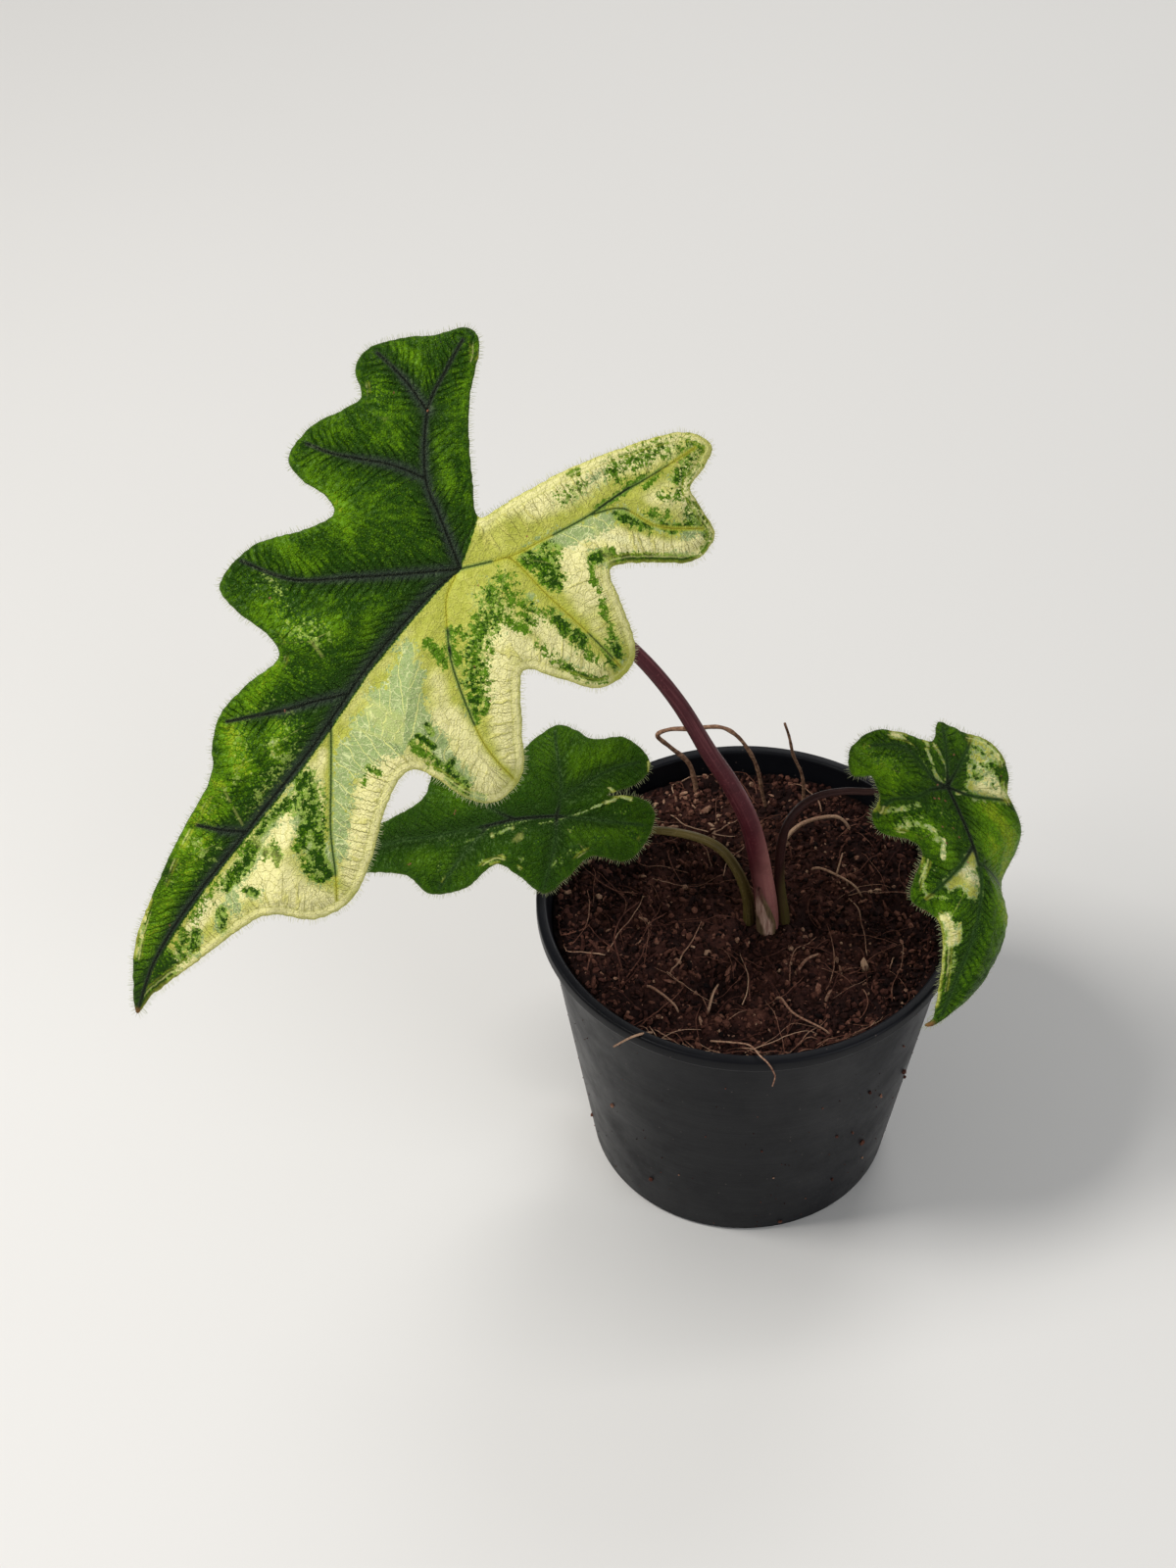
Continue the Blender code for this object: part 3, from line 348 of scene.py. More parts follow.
LEFT_BLADE = {
    "node": "leaf_left",
    "slot": "leaf_green",
    "crisp": 0.35,
    "hair_seed": 43,
    "junction": (-54.0, 4.0, 126.0),
    "towards_tip": (-68.0, 0.0, -20.0),
    "facing": (0.0, -0.55, 0.83),
    "thickness": 0.5,
    "step": 0.6,
    "tip_bend": (15.0, 70.0),
    "back_bend": (10.0, 30.0),
    "cup": 8.0,
    "curl": (18.0, 22.0, 28.0),
    "puff": (2.2, 6.5),
    "roll": (0.9, 1.8),
    "rib": 0.6,
    "quilt": (0.11, 2.3),
    "wash": (0.92, 0.5),
    "bright": -0.20,
    "smoke": 0.55,
    "edge": [
        (3, -15),
        (4.5, -23), (8, -27.5), (13, -27), (18, -22), (19, -13.5),
        (23, -9), (26, -3.5), (23, 2.5), (19, 8),
        (20, 16), (24, 25), (20, 33), (12.5, 37),
        (9, 49), (6.5, 64),
        (2, 77),
        (-2, 67), (-5, 54), (-8, 45),
        (-14, 40), (-14.5, 29), (-10, 19),
        (-14.5, 13), (-20.5, 7.5), (-17.5, 0), (-13, -8),
        (-16, -17), (-11.5, -23.5), (-4, -27), (1, -23),
    ],
    "veins": [
        (0.9, [(0, 0), (0.9, 6), (1.5, 12), (1.3, 22), (1.8, 36), (2.6, 48), (2, 76)]),
        (0.8, [(0, 0), (5, -2), (10, -2.9), (16, -3), (24, -3)]),
        (0.8, [(4.7, -1.9), (7.4, -9.4), (9.9, -17.5), (10.5, -25)]),
        (0.8, [(0, 0), (-7, 1.4), (-12, 3.5), (-19, 7)]),
        (0.8, [(0, 0), (-3, -10), (-7, -23)]),
        (0.8, [(1.4, 11.5), (4.3, 16), (10, 21.5), (21, 29)]),
        (0.8, [(1.3, 20), (-6, 29), (-13, 37)]),
    ],
    "upper": "",
    "lower": "",
    "pale": ".9 3 0,-3 2.5,-22 | .8 3 0,18 -1,3 | 1 2 7,-27.5 12,-28",
    "fade": """
        1.25 .32 1.8,-17.5 1.1,-15 .5,-11 | 1.1 .28 .5,-11 -.4,-8 -.8,-4 | 1.0 .25 -.8,-4 -1.3,2 -1.3,5
        1.9 .25 4.6,-16 2,-18.5 .6,-21.5 | 2.4 .35 10,-27.8 6,-27.8 | .95 .6 -.8,13 -1.2,15 -1.8,19
        .8 .22 .4,7.5 .3,14 .3,21 | .6 .5 -1,21 -2,27 | .55 .7 -4,-4 -5,-3.4 | .6 .25 -1.4,.5 -4.5,.6
        .55 1.5 -10.5,-6 -11,-3 -12,0 -13,3 | .42 1.1 -8.3,-12 -8.5,-10 | .36 1.3 -2,-20 -3.5,-15
        .42 1.4 -2,8 -4.5,12 | .6 .8 -10,11 -12,12 | .62 .8 -8.6,16 -9,20 -8.5,24 | .5 .9 .4,34 -2,30.8
        .55 .5 -6,35 -8.5,36.3 | .55 .5 -10,34.5 -11.5,36 | .36 1.3 -7,-19 -10,-21 | .32 1.5 -6,6 -10,7""",
    # Glow strokes: younger, yellower green, and painted light on the lit patches
    "glow": """
        .45 5 15,-18 12,-8 | .4 4 -8,-20 -6,-6 | .35 5 12,28 14,12 | .35 4 -9,30 -4,40 | .4 4 22,-4 17,-1""",
    "dark": "1 3 0,0 2,20",
    "spots": "7,28 6.5,28.4 -4.8,43.7 -5,44.3",
    "tip_brown": 0.3,
}

RIGHT_BLADE = {
    "node": "leaf_right",
    "slot": "leaf_flecked",
    "crisp": 0.7,
    "hair_seed": 47,
    "junction": (51.7, -4.0, 146.0),
    "towards_tip": (-3.1, -50.0, -36.0),
    "facing": (0.15, -0.45, 0.88),
    "thickness": 0.5,
    "step": 0.55,
    "tip_bend": (20.0, 62.0),
    "back_bend": (25.0, 20.0),
    "cup": 2.0,
    "curl": (20.0, 30.0, 28.0),
    "fold": (56.0, 26.0),
    "bow": (-14.0, 71.0),
    "puff": (2.0, 6.0),
    "roll": (0.9, 1.8),
    "rib": 0.6,
    "quilt": (0.15, 2.2),
    "wash": (0.82, 1.2),
    "bright": 0.16,
    "smoke": 0.55,
    "edge": [
        (4.5, -12.5),
        (12.5, -15), (20.5, -15.5), (26.5, -10), (26, -2), (20.5, -1.5),
        (20.5, 3.5), (25.5, 9), (25, 13.5), (18, 15), (16, 18.5),
        (20.5, 26), (21.5, 31.5), (14.5, 36),
        (12, 42), (8.5, 52.5), (5.3, 59.5), (3.6, 63.3),
        (4.6, 65.0), (3.4, 65.6), (1.8, 64.9),
        (0.2, 63.2), (-5.4, 57.5), (-9.6, 50), (-11.5, 43), (-13, 37),
        (-15.5, 31), (-17.5, 25), (-19, 19), (-18.5, 14),
        (-18.5, 9), (-18, 2), (-17, -6), (-14, -12), (-9.5, -15.5), (-4, -16.5),
        (2, -19),
    ],
    "veins": [
        (0.9, [(0, 0), (0.6, 9), (1, 16), (1.6, 24), (3, 32), (4.2, 42), (4.3, 52), (2, 62)]),
        (0.8, [(0, 0), (4, -2), (8, -7), (13, -11), (21, -11)]),
        (0.8, [(0, 0), (0.3, -8), (1, -17)]),
        (0.8, [(0, 0), (-3, -6), (-5.5, -11), (-7, -15)]),
        (0.8, [(0, 0), (5, 1), (11, 3.5), (18, 4.5), (24, 9)]),
        (0.8, [(1, 15.5), (6, 20.5), (11.6, 25.5), (18, 31)]),
        (0.8, [(0, 0), (-5, 1.8), (-10, 2.2), (-17, 2.2)]),
        (0.8, [(1.3, 20), (-5, 23), (-14, 27)]),
    ],
    "upper": "1.5 1.5 -15,-6.2 -16.5,-4.5 | .5 .8 -9,-3 -10,-9",
    "lower": "",
    "pale": """
        1 2.5 -9,-1 -15,.5 | 1.2 3 7.5,20.5 3,24 | 1 1.5 14,-14 11,-13 | .9 3 -12,-2 -15,0
        1 1.5 9,14.3 11,19.3 | .9 2.2 12.2,35 9,42 | .7 1.5 10,46 6,56""",
    "fade": """
        1.25 2.2 -8.5,-13.5 -10.5,-12 -12.5,-9 | 1.2 2.6 -8,-9 -9.5,-5 | 1.6 2.0 -7.5,-.8 -11,.2 -15.2,.4
        1.5 1.6 -11,-3 -13,-2 | 1.1 .9 -6.5,-9.5 -6,-4 | 1.6 .4 -1.6,1.6 -4.2,1 | 1.0 .7 -5.8,3 -8.6,3
        1.2 1.0 15,-14.4 12.3,-13.8 | 1.2 .5 5.9,-10 4.4,-5.8 3.1,-2.6 1.6,-1
        1.2 .45 3.8,-11.7 1.9,-8.3 .4,-5 .6,-2 | .7 .3 11.9,-13.3 8.8,-10 6.9,-7 5,-3.2
        1.3 .4 6.5,-12.6 5.5,-11.4 | .5 1.6 22,-10 19,-6 | .45 1.8 17,-7 13,-7 | .5 1.2 14.5,-4 14.5,-1
        .95 .9 21.9,7.4 17.5,7 10.6,5.5 | .4 1.4 15.6,2 10.6,2 | .5 1.1 21,2.5 24,7
        1.0 1.1 19.4,11.9 16,10.6 12,10.8 10.4,12.4 10.9,14.5 | .6 1.4 17,8.6 12,8.6
        1.4 .7 9,14.3 9.7,16.7 11,19.3 | 1.7 1.6 3,19.5 5,22.6 7.5,24.4 10.5,26 | 1.5 1.9 4,23.5 6,26 5,28
        1.3 .9 1.4,17 2,20 4,22 | 1.3 .7 3.1,23 2.5,28 | .6 1.5 5,24 3,26
        .95 .8 15.6,20.5 17.5,24.3 18.1,28 17.2,30 | .9 .6 17,30 14,29.7 11.3,30.4
        .7 1.0 16.2,20.5 14,22 | .5 1.0 15,24 14,27 | 1.7 1.3 12.4,35.4 10.4,38.5 9.6,42
        1.5 .8 8.6,37 8,41.5 | 1.2 .55 12,38 10.8,45.5 8.3,52.4 5.2,59.5 | .85 1.1 8.8,44.5 7,47.5 7,50
        .75 .5 6,52 5.3,55 | .5 1.6 7,6 3,9 | .45 1.4 12,13 15,13 | .4 1.5 8,29 10,33""",
    # Glow strokes: younger, yellower green, and painted light on the lit patches
    "glow": """
        .9 3 23,-9 20,-6 17,-4 | .8 2.5 15,-2 16,3 | .7 3 12,12 9,20 | 1.6 5 -9,5 -12,12 -13,22 -9,34
        1.3 4.5 -5,14 -6,24 -5,33 | .6 3 22,-8 24,-3 | .5 3 12,32 16,29 | .5 3 23,10 18,13
        .4 3 -4,-13 -1,-16""",
    "dark": "1 5 0,0 1,16",
    "spots": """
        5.6,3.3 4.4,3.4 3,3.9 4.7,11.1 4.1,13.5 7.6,11 8.4,15.2 -1.7,-9.1 -9.4,-5 2.8,-.3 -14.7,-4.2
        4.2,19.9""",
    "tip_brown": 0.9,
}
BLADES = [MAIN_BLADE, LEFT_BLADE, RIGHT_BLADE]


# Curves and distances

def smooth_curve(knots, step, closed=False):
    """Evenly spaced points, about step apart, on a smooth curve through the knots."""
    knots = np.asarray(knots, float)
    if closed:
        a, b, c, d = (np.roll(knots, -k, axis=0) for k in (-1, 0, 1, 2))
    else:
        ends = np.vstack([2 * knots[0] - knots[1], knots, 2 * knots[-1] - knots[-2]])
        a, b, c, d = ends[:-3], ends[1:-2], ends[2:-1], ends[3:]
    t = (np.arange(12) / 12)[None, :, None]
    a, b, c, d = (x[:, None, :] for x in (a, b, c, d))
    fine = 0.5 * (2 * b + (c - a) * t + (2 * a - 5 * b + 4 * c - d) * t * t
                  + (3 * b - a - 3 * c + d) * t ** 3)
    fine = np.vstack([fine.reshape(-1, knots.shape[1]), knots[:1] if closed else knots[-1:]])
    run = np.concatenate([[0.0], np.cumsum(np.linalg.norm(np.diff(fine, axis=0), axis=1))])
    wanted = np.linspace(0, run[-1], max(2, round(run[-1] / step)) + 1)
    even = np.column_stack([np.interp(wanted, run, axis) for axis in fine.T])
    return even[:-1] if closed else even


def nearest(points, line, chunk=4000):
    """Distance from each flat point to a line, the length along the line there, and the side."""
    start, step = line[:-1], np.diff(line, axis=0)
    size = np.linalg.norm(step, axis=1)
    run = np.concatenate([[0.0], np.cumsum(size)])[:-1]
    found = []
    for first in range(0, len(points), chunk):
        off = points[first:first + chunk, None, :] - start[None]
        share = np.clip((off * step).sum(-1) / size ** 2, 0, 1)
        away = off - share[..., None] * step
        distance = np.hypot(away[..., 0], away[..., 1])
        best = distance.argmin(1)
        rows = np.arange(len(best))
        side = np.sign(step[best, 0] * away[rows, best, 1] - step[best, 1] * away[rows, best, 0])
        found.append((distance[rows, best], run[best] + share[rows, best] * size[best], side))
    return [np.concatenate(parts) for parts in zip(*found)]


def painted(points, text, spread=1.0):
    """The strongest of some listed soft strokes at each flat point.

    A stroke is written as its strength, its half width and its u,v points; bars and line ends
    part the strokes. Spread widens them all.
    """
    field = np.zeros(len(points))
    for stroke in text.replace("\n", "|").split("|"):
        if stroke.strip():
            strength, width, *line = stroke.split()
            away = nearest(points, np.array([corner.split(",") for corner in line], float))[0]
            reach = float(width) * spread
            field = np.maximum(field, float(strength) * np.exp(-(away / reach) ** 2))
    return field


def rough(points, size, seed=0.0):
    """Smooth noise from -1 to 1 at points of two or three coordinates."""
    flat = np.column_stack([points, np.full(len(points), seed)])[:, :3]
    return np.array([noise.noise(Vector(p) / size + Vector((seed, 0, 0))) for p in flat])


def ramp(value, low, high):
    share = np.clip((value - low) / (high - low), 0, 1)
    return share * share * (3 - 2 * share)


# Meshes

def add_piece(name, verts, faces, looks, node, slot, fields=None, shades=None, flat=False):
    """A mesh piece from millimetres, riding on the object, with named values at its vertices."""
    mesh = bpy.data.meshes.new(name)
    mesh.from_pydata((np.asarray(verts, float) * MM).tolist(), [], faces)
    for look in looks:
        mesh.materials.append(look)
    if shades is not None:
        mesh.polygons.foreach_set("material_index", np.asarray(shades, np.int32))
    for key, values in (fields or {}).items():
        values = np.asarray(values, np.float32)
        kind, field = ("FLOAT", "value") if values.ndim == 1 else ("FLOAT_VECTOR", "vector")
        made = mesh.attributes.new(key, kind, "POINT")
        made.data.foreach_set(field, values.ravel())
    if not flat:
        mesh.shade_smooth()
    mesh.update()
    piece = bpy.data.objects.new(name, mesh)
    bpy.context.scene.collection.objects.link(piece)
    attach(piece, "root")
    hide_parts(node)
    return piece


def tube(points, radii, sides, stretch=None):
    """Vertices and faces of a rod with closed ends along 3-D points, and the share along it."""
    points = np.asarray(points, float)
    radii = np.broadcast_to(np.asarray(radii, float), len(points))
    along = np.gradient(points, axis=0)
    along /= np.linalg.norm(along, axis=1)[:, None]
    across = np.array([1.0, 0.0, 0.0])
    if abs(along[0] @ across) > 0.9:
        across = np.array([0.0, 1.0, 0.0])
    turn = np.linspace(0, math.tau, sides, endpoint=False)
    verts, share = [], []
    for k, (point, radius, way) in enumerate(zip(points, radii, along)):
        across = across - way * (way @ across)
        across /= np.linalg.norm(across)
        side = np.cross(way, across)
        size = radius if stretch is None else radius * stretch[k]
        size = np.broadcast_to(size, sides)[:, None]
        verts.append(point + size * (np.cos(turn)[:, None] * across + np.sin(turn)[:, None] * side))
        share += [k / (len(points) - 1)] * sides
    verts = np.vstack([*verts, points[:1], points[-1:]])
    foot, head = len(verts) - 2, len(verts) - 1
    faces = []
    for ring in range(len(points) - 1):
        for k in range(sides):
            a, b = ring * sides + k, ring * sides + (k + 1) % sides
            faces.append((a, b, b + sides, a + sides))
    last = (len(points) - 1) * sides
    for k in range(sides):
        faces.append((foot, (k + 1) % sides, k))
        faces.append((head, last + k, last + (k + 1) % sides))
    return verts, faces, np.array(share + [0.0, 1.0])


class Heap:
    """Collects many small shapes into one mesh, with a tone for each."""

    def __init__(self):
        self.verts, self.faces, self.tones, self.count = [], [], [], 0

    def add(self, verts, faces, tone):
        verts = np.asarray(verts, float)
        self.verts.append(verts)
        self.faces += [tuple(i + self.count for i in face) for face in faces]
        self.tones.append(np.full(len(verts), tone))
        self.count += len(verts)

    def add_rod(self, points, radii, sides, tone):
        verts, faces, _ = tube(points, radii, sides)
        self.add(verts, faces, tone)

    def make_piece(self, name, look, node, slot, flat=False):
        add_piece(name, np.vstack(self.verts), self.faces, [look], node, slot,
                  {"tone": np.concatenate(self.tones)}, flat=flat)


# Materials

class Value:
    """A number or a colour in a material, with the sums and steps that make others from it."""

    def __init__(self, look, socket):
        self.look, self.socket = look, socket

    def math(self, operation, other=0.0):
        return self.look.node("Math", {0: self, 1: other}, operation=operation)

    def __add__(self, other):
        return self.math("ADD", other)

    def __sub__(self, other):
        return self.math("SUBTRACT", other)

    def __mul__(self, other):
        return self.math("MULTIPLY", other)

    def most(self, other):
        return self.math("MAXIMUM", other)

    def waves(self, half):
        """Rises to half and falls back to 0, again and again."""
        return self.math("PINGPONG", half)

    def step(self, low, high, start=0.0, end=1.0):
        """Goes smoothly from start, where this value is low, to end, where it is high."""
        return self.look.node("MapRange", {"Value": self, "From Min": low, "From Max": high,
                                           "To Min": start, "To Max": end},
                              interpolation_type="SMOOTHSTEP")

    def fall(self, low, high, end=0.0):
        return self.step(low, high, 1.0, end)

    def between(self, start, end):
        """Start where this value is 0, end where it is 1."""
        return self.step(0.0, 1.0, start, end)

    def line(self, middle, half):
        """1 at the middle, falling to 0 at half away from it."""
        return (self - middle).math("ABSOLUTE").fall(0.0, half)


class Look:
    """A Principled material whose node network is built by short calls."""

    def __init__(self, name, roughness=0.5, specular=0.5, **settings):
        self.material = bpy.data.materials.new(name)
        self.material.use_nodes = True
        self.tree = self.material.node_tree
        self.shader = self.tree.nodes["Principled BSDF"]
        self.shader.inputs["Roughness"].default_value = roughness
        self.shader.inputs["Specular IOR Level"].default_value = specular
        for key, value in settings.items():
            self.shader.inputs[key.replace("_", " ")].default_value = value

    def put(self, socket, value):
        if isinstance(value, Value):
            self.tree.links.new(value.socket, socket)
        elif isinstance(value, tuple) and socket.type == "RGBA":
            socket.default_value = (*value, 1.0)[:4]
        else:
            socket.default_value = value

    def build(self, kind, inputs=(), **settings):
        made = self.tree.nodes.new("ShaderNode" + kind)
        for key, value in settings.items():
            setattr(made, key, value)
        for key, value in dict(inputs).items():
            self.put(made.inputs[key], value)
        return made

    def node(self, kind, inputs=(), output=0, **settings):
        return Value(self, self.build(kind, inputs, **settings).outputs[output])

    def split(self, vector):
        return [Value(self, part) for part in self.build("SeparateXYZ", {0: vector}).outputs]

    def join(self, x, y):
        return self.node("CombineXYZ", {0: x, 1: y, 2: 0.0})

    def scaled(self, vector, *scale):
        return self.node("Mapping", {"Vector": vector, "Scale": scale})

    def field(self, name):
        """The three values kept at each vertex under this name."""
        return self.split(self.node("Attribute", output="Vector", attribute_name=name))

    def single(self, name):
        """The one value kept at each vertex under this name."""
        return self.node("Attribute", output="Fac", attribute_name=name)

    def place(self):
        return self.node("TexCoord", output="Object")

    def noise(self, vector, scale=1.0, detail=2.0, roughness=0.5):
        return self.node("TexNoise", {"Vector": vector, "Scale": scale, "Detail": detail,
                                      "Roughness": roughness}, "Fac")

    def cells(self, vector, scale):
        """Three random numbers of the cell, and the distance from its middle."""
        made = self.build("TexVoronoi", {"Vector": vector, "Scale": scale})
        return [*self.split(Value(self, made.outputs["Color"])), Value(self, made.outputs["Distance"])]

    def cell_edge(self, vector, scale):
        return self.node("TexVoronoi", {"Vector": vector, "Scale": scale}, "Distance",
                         feature="DISTANCE_TO_EDGE")

    def finish(self, colour, roughness=None, height=None, depth=0.0002, strength=1.0):
        self.put(self.shader.inputs["Base Color"], colour)
        if roughness is not None:
            self.put(self.shader.inputs["Roughness"], roughness)
        if height is not None:
            bump = self.node("Bump", {"Height": height, "Distance": depth, "Strength": strength})
            self.put(self.shader.inputs["Normal"], bump)
        return self.material


def mix(share, a, b):
    """The colour a where share is 0, b where it is 1."""
    look = next(value.look for value in (share, a, b) if isinstance(value, Value))
    return look.node("Mix", {0: share, 6: a, 7: b}, 2, data_type="RGBA")


def layered(base, *layers):
    """A colour with others laid over it, each given as its share and its colour."""
    for share, colour in layers:
        base = mix(share, base, colour)
    return base


def leaf_pattern(look):
    """A blade's painted fields, its noise and cells, and the fine lines drawn from them."""
    p = SimpleNamespace()
    across, along, comb = look.field("flat")
    p.upper, p.lower, p.pale = look.field("tone")
    phase, p.away, meet = look.field("rib")
    p.edge, p.halo, p.dark = look.field("mark")
    p.glow, p.spot, p.brown = look.field("accent")
    flat = look.join(across, along)
    p.broad = look.noise(flat, 0.16)
    p.wobble = look.noise(flat, 0.55, 3.0)
    p.fine = look.noise(flat, 2.4, 3.0)
    p.sway, p.ripple = p.wobble - 0.5, p.fine - 0.5
    p.random, p.other, _, _ = look.cells(flat, 1.05)
    p.small_random, p.small_other, p.tiny, middle = look.cells(flat, 1.75)
    p.dome = (middle + p.ripple * 0.4).fall(0.05, 0.62)
    p.creamy = p.upper.fall(1.2, 1.6)

    # Side veins leave the main veins at a slant; smaller ones and a net lie between them
    slant = phase + p.sway * 0.30
    wide = slant.waves(0.5) * 2.0
    off_main = p.away.step(0.3, 1.1)
    inner = meet.step(0.1, 1.2) * off_main
    p.side_vein = wide.fall(0.0, 0.20) * inner * p.wobble.step(0.35, 0.65, 0.15, 1.0)
    p.feather = (wide.fall(0.0, 0.45) * inner * p.away.fall(0.5, 8.0, 0.12)
                 * p.wobble.step(0.35, 0.62, 0.3, 1.0))
    p.hair_vein = (slant.waves(0.125) * 8.0).fall(0.0, 0.5) * inner
    p.long_vein = slant.waves(1.0).fall(0.02, 0.11) * off_main
    p.net = look.cell_edge(look.join(across + p.wobble * 2.2, along + p.broad * 3.0), 0.46).fall(0.0, 0.065)
    p.small_net = look.cell_edge(flat, 1.9).fall(0.0, 0.09)
    p.meeting = meet.fall(0.0, 0.5) * p.away.step(1.0, 2.5)
    p.blotch = look.noise(look.join(slant * 1.1, p.away * 0.30), 1.0, 3.0)
    p.streak = look.noise(look.join(slant * 4.2, p.away * 0.3))

    # Ridges that run in from the margin
    bowed = comb + p.sway * 0.35 + p.edge * 0.05
    small = bowed.waves(0.25).fall(0.0, 0.07) * p.edge.step(3.0, 6.0, 0.7, 0.0)
    p.teeth = (bowed.waves(0.5).fall(0.0, 0.13).most(small) * p.edge.step(1.6, 3.0)
               * p.edge.fall(6.5, 12.5) * p.away.step(0.4, 2.0))
    return p


def cream_tissue(p):
    """Tissue with neither green layer: yellow near the veins, cream away from them."""
    paleness = (p.pale + (p.broad - 0.5) * 0.8 + p.away.step(0.0, 9.0, -0.35, 0.15)
                + p.edge.step(1.0, 5.0, 0.4, 0.0)).step(0.0, 0.75)
    lime = mix(p.wobble, (0.31, 0.34, 0.030), (0.54, 0.54, 0.115))
    cream = mix(p.fine, (0.72, 0.67, 0.26), (0.90, 0.84, 0.46))
    line_tone = mix(paleness, (0.56, 0.56, 0.13), (0.62, 0.58, 0.17))
    return layered(
        mix(paleness, lime, cream),
        (p.pale.step(0.9, 1.4) * p.edge.step(3.0, 7.0), (0.66, 0.69, 0.44)),
        (p.small_net * 0.30, mix(paleness, (0.34, 0.38, 0.04), (0.56, 0.58, 0.19))),
        (p.net * 0.45, line_tone),
        (p.side_vein * p.edge.step(2.0, 6.0, 0.1, 0.6), line_tone),
        (p.teeth * 0.7, (0.58, 0.55, 0.13)))


def sage_tissue(p, crisp):
    """Tissue with the lower green layer alone, flecked where the upper one thins out."""
    flecks = p.dome * p.small_other
    flecked = mix(flecks, (0.20, 0.32, 0.035), (0.50, 0.56, 0.16 + 0.2 * (1 - crisp)))
    plain = p.upper.fall(0.1, 0.4)
    return layered(
        mix(flecks * 0.7 + p.wobble * 0.4, (0.21, 0.305, 0.095), (0.52, 0.58, 0.28)),
        (p.upper.step(0.2, 0.5), flecked),
        (p.small_net * 0.25, (0.52, 0.59, 0.28)),
        (p.net * plain * 0.75, (0.68, 0.73, 0.36)),
        (p.long_vein * plain * 0.9, (0.70, 0.70, 0.24)))


def green_tissue(p, crisp, has_lower):
    """Tissue with the upper layer, deep where both lie: domed cells, brightest in younger tissue and in
    painted light on lit patches.
    """
    grainy = (p.tiny - 0.5) * 0.9 + (p.dome - 0.6)
    shine = (p.glow + p.sway * (1.5 * crisp) + (p.broad - 0.5) * (1.6 * crisp)
             + (p.blotch - 0.5) * (1.7 * crisp) + grainy * p.creamy.between(0.62 * crisp, 1.2)
             + p.feather * (-0.85 * crisp) + p.halo * -0.5)
    deep = mix(p.streak, (0.008, 0.032, 0.001), (0.020, 0.070, 0.0025))
    bright = mix(p.streak, (0.060, 0.175, 0.0015), (0.16, 0.32, 0.004))
    both = layered(deep, (shine.step(-0.60, 1.0), bright),
                   (shine.step(0.85, 1.8, 0.0, 0.8), (0.30, 0.40, 0.014)))
    light = mix(p.dome * p.tiny, (0.085, 0.20, 0.006), (0.42, 0.54, 0.09))
    return layered(
        mix(has_lower, light, both),
        (p.side_vein * p.away.step(1.0, 8.0, 0.70, 0.18) * crisp ** 2, (0.006, 0.020, 0.002)),
        (p.net * 0.34, (0.010, 0.032, 0.002)),
        (p.hair_vein * 0.18, (0.008, 0.024, 0.002)))


def with_main_veins(tissue, p, body):
    """Main veins: charcoal with a dark smoky halo in green that greys near the vein with a painted sheen,
    yellow or dark green in cream.
    """
    smoke = mix(p.fine + p.side_vein * -0.5 + (p.dome - 0.5) * 0.5,
                (0.006, 0.012, 0.004), (0.026, 0.060, 0.012))
    # Painted sheen: the grey that the halo takes on close to the vein
    painted_sheen_grey = mix(p.fine, (0.014, 0.018, 0.016), (0.045, 0.055, 0.050))
    in_green = p.halo.most(p.upper - 0.9).step(0.1, 0.4)
    inked = (p.dark + p.sway * 0.6).step(0.15, 0.85)
    core = (p.away + p.ripple * 0.25).fall(
        in_green.between(0.02, 0.12), in_green.between(0.28, 0.40) + inked * p.creamy * 0.16)
    core_tone = mix(in_green, mix(inked, (0.25, 0.23, 0.016), (0.016, 0.040, 0.008)),
                    mix(p.dark, (0.014, 0.040, 0.006), (0.0045, 0.0055, 0.0055)))
    beside = mix(in_green, mix(inked, (0.42, 0.42, 0.04), (0.19, 0.28, 0.060)),
                 mix(p.dark, (0.022, 0.058, 0.010), (0.020, 0.025, 0.022)))
    return layered(
        tissue,
        # The halo: dark smoky green, turning to a painted grey sheen close to the vein
        (p.halo * p.feather.between(0.72, 1.0), mix(p.halo.step(0.55, 0.97), smoke, painted_sheen_grey)),
        (body * (in_green * 0.1 + 0.7), beside),
        (core * 0.95, core_tone),
        (p.meeting * p.creamy * 0.25, (0.70, 0.68, 0.20)))


def with_margin(tissue, p):
    """Lines along the margin, brown specks and a dry tip."""
    band = p.edge.fall(0.5, 1.1).most(p.edge.line(2.3, 0.5))
    return layered(
        tissue,
        (band * p.creamy * 0.36, (0.40, 0.41, 0.045)),
        (p.edge.line(1.55, 0.4) * p.creamy * 0.5, (0.66, 0.64, 0.22)),
        (p.edge.fall(0.1, 0.5) * 0.5, mix(p.creamy, (0.10, 0.17, 0.03), (0.48, 0.48, 0.10))),
        (p.spot.step(0.35, 0.8), (0.24, 0.09, 0.055)),
        ((p.brown + p.fine * 0.2).step(0.35, 0.9), (0.20, 0.10, 0.035)))


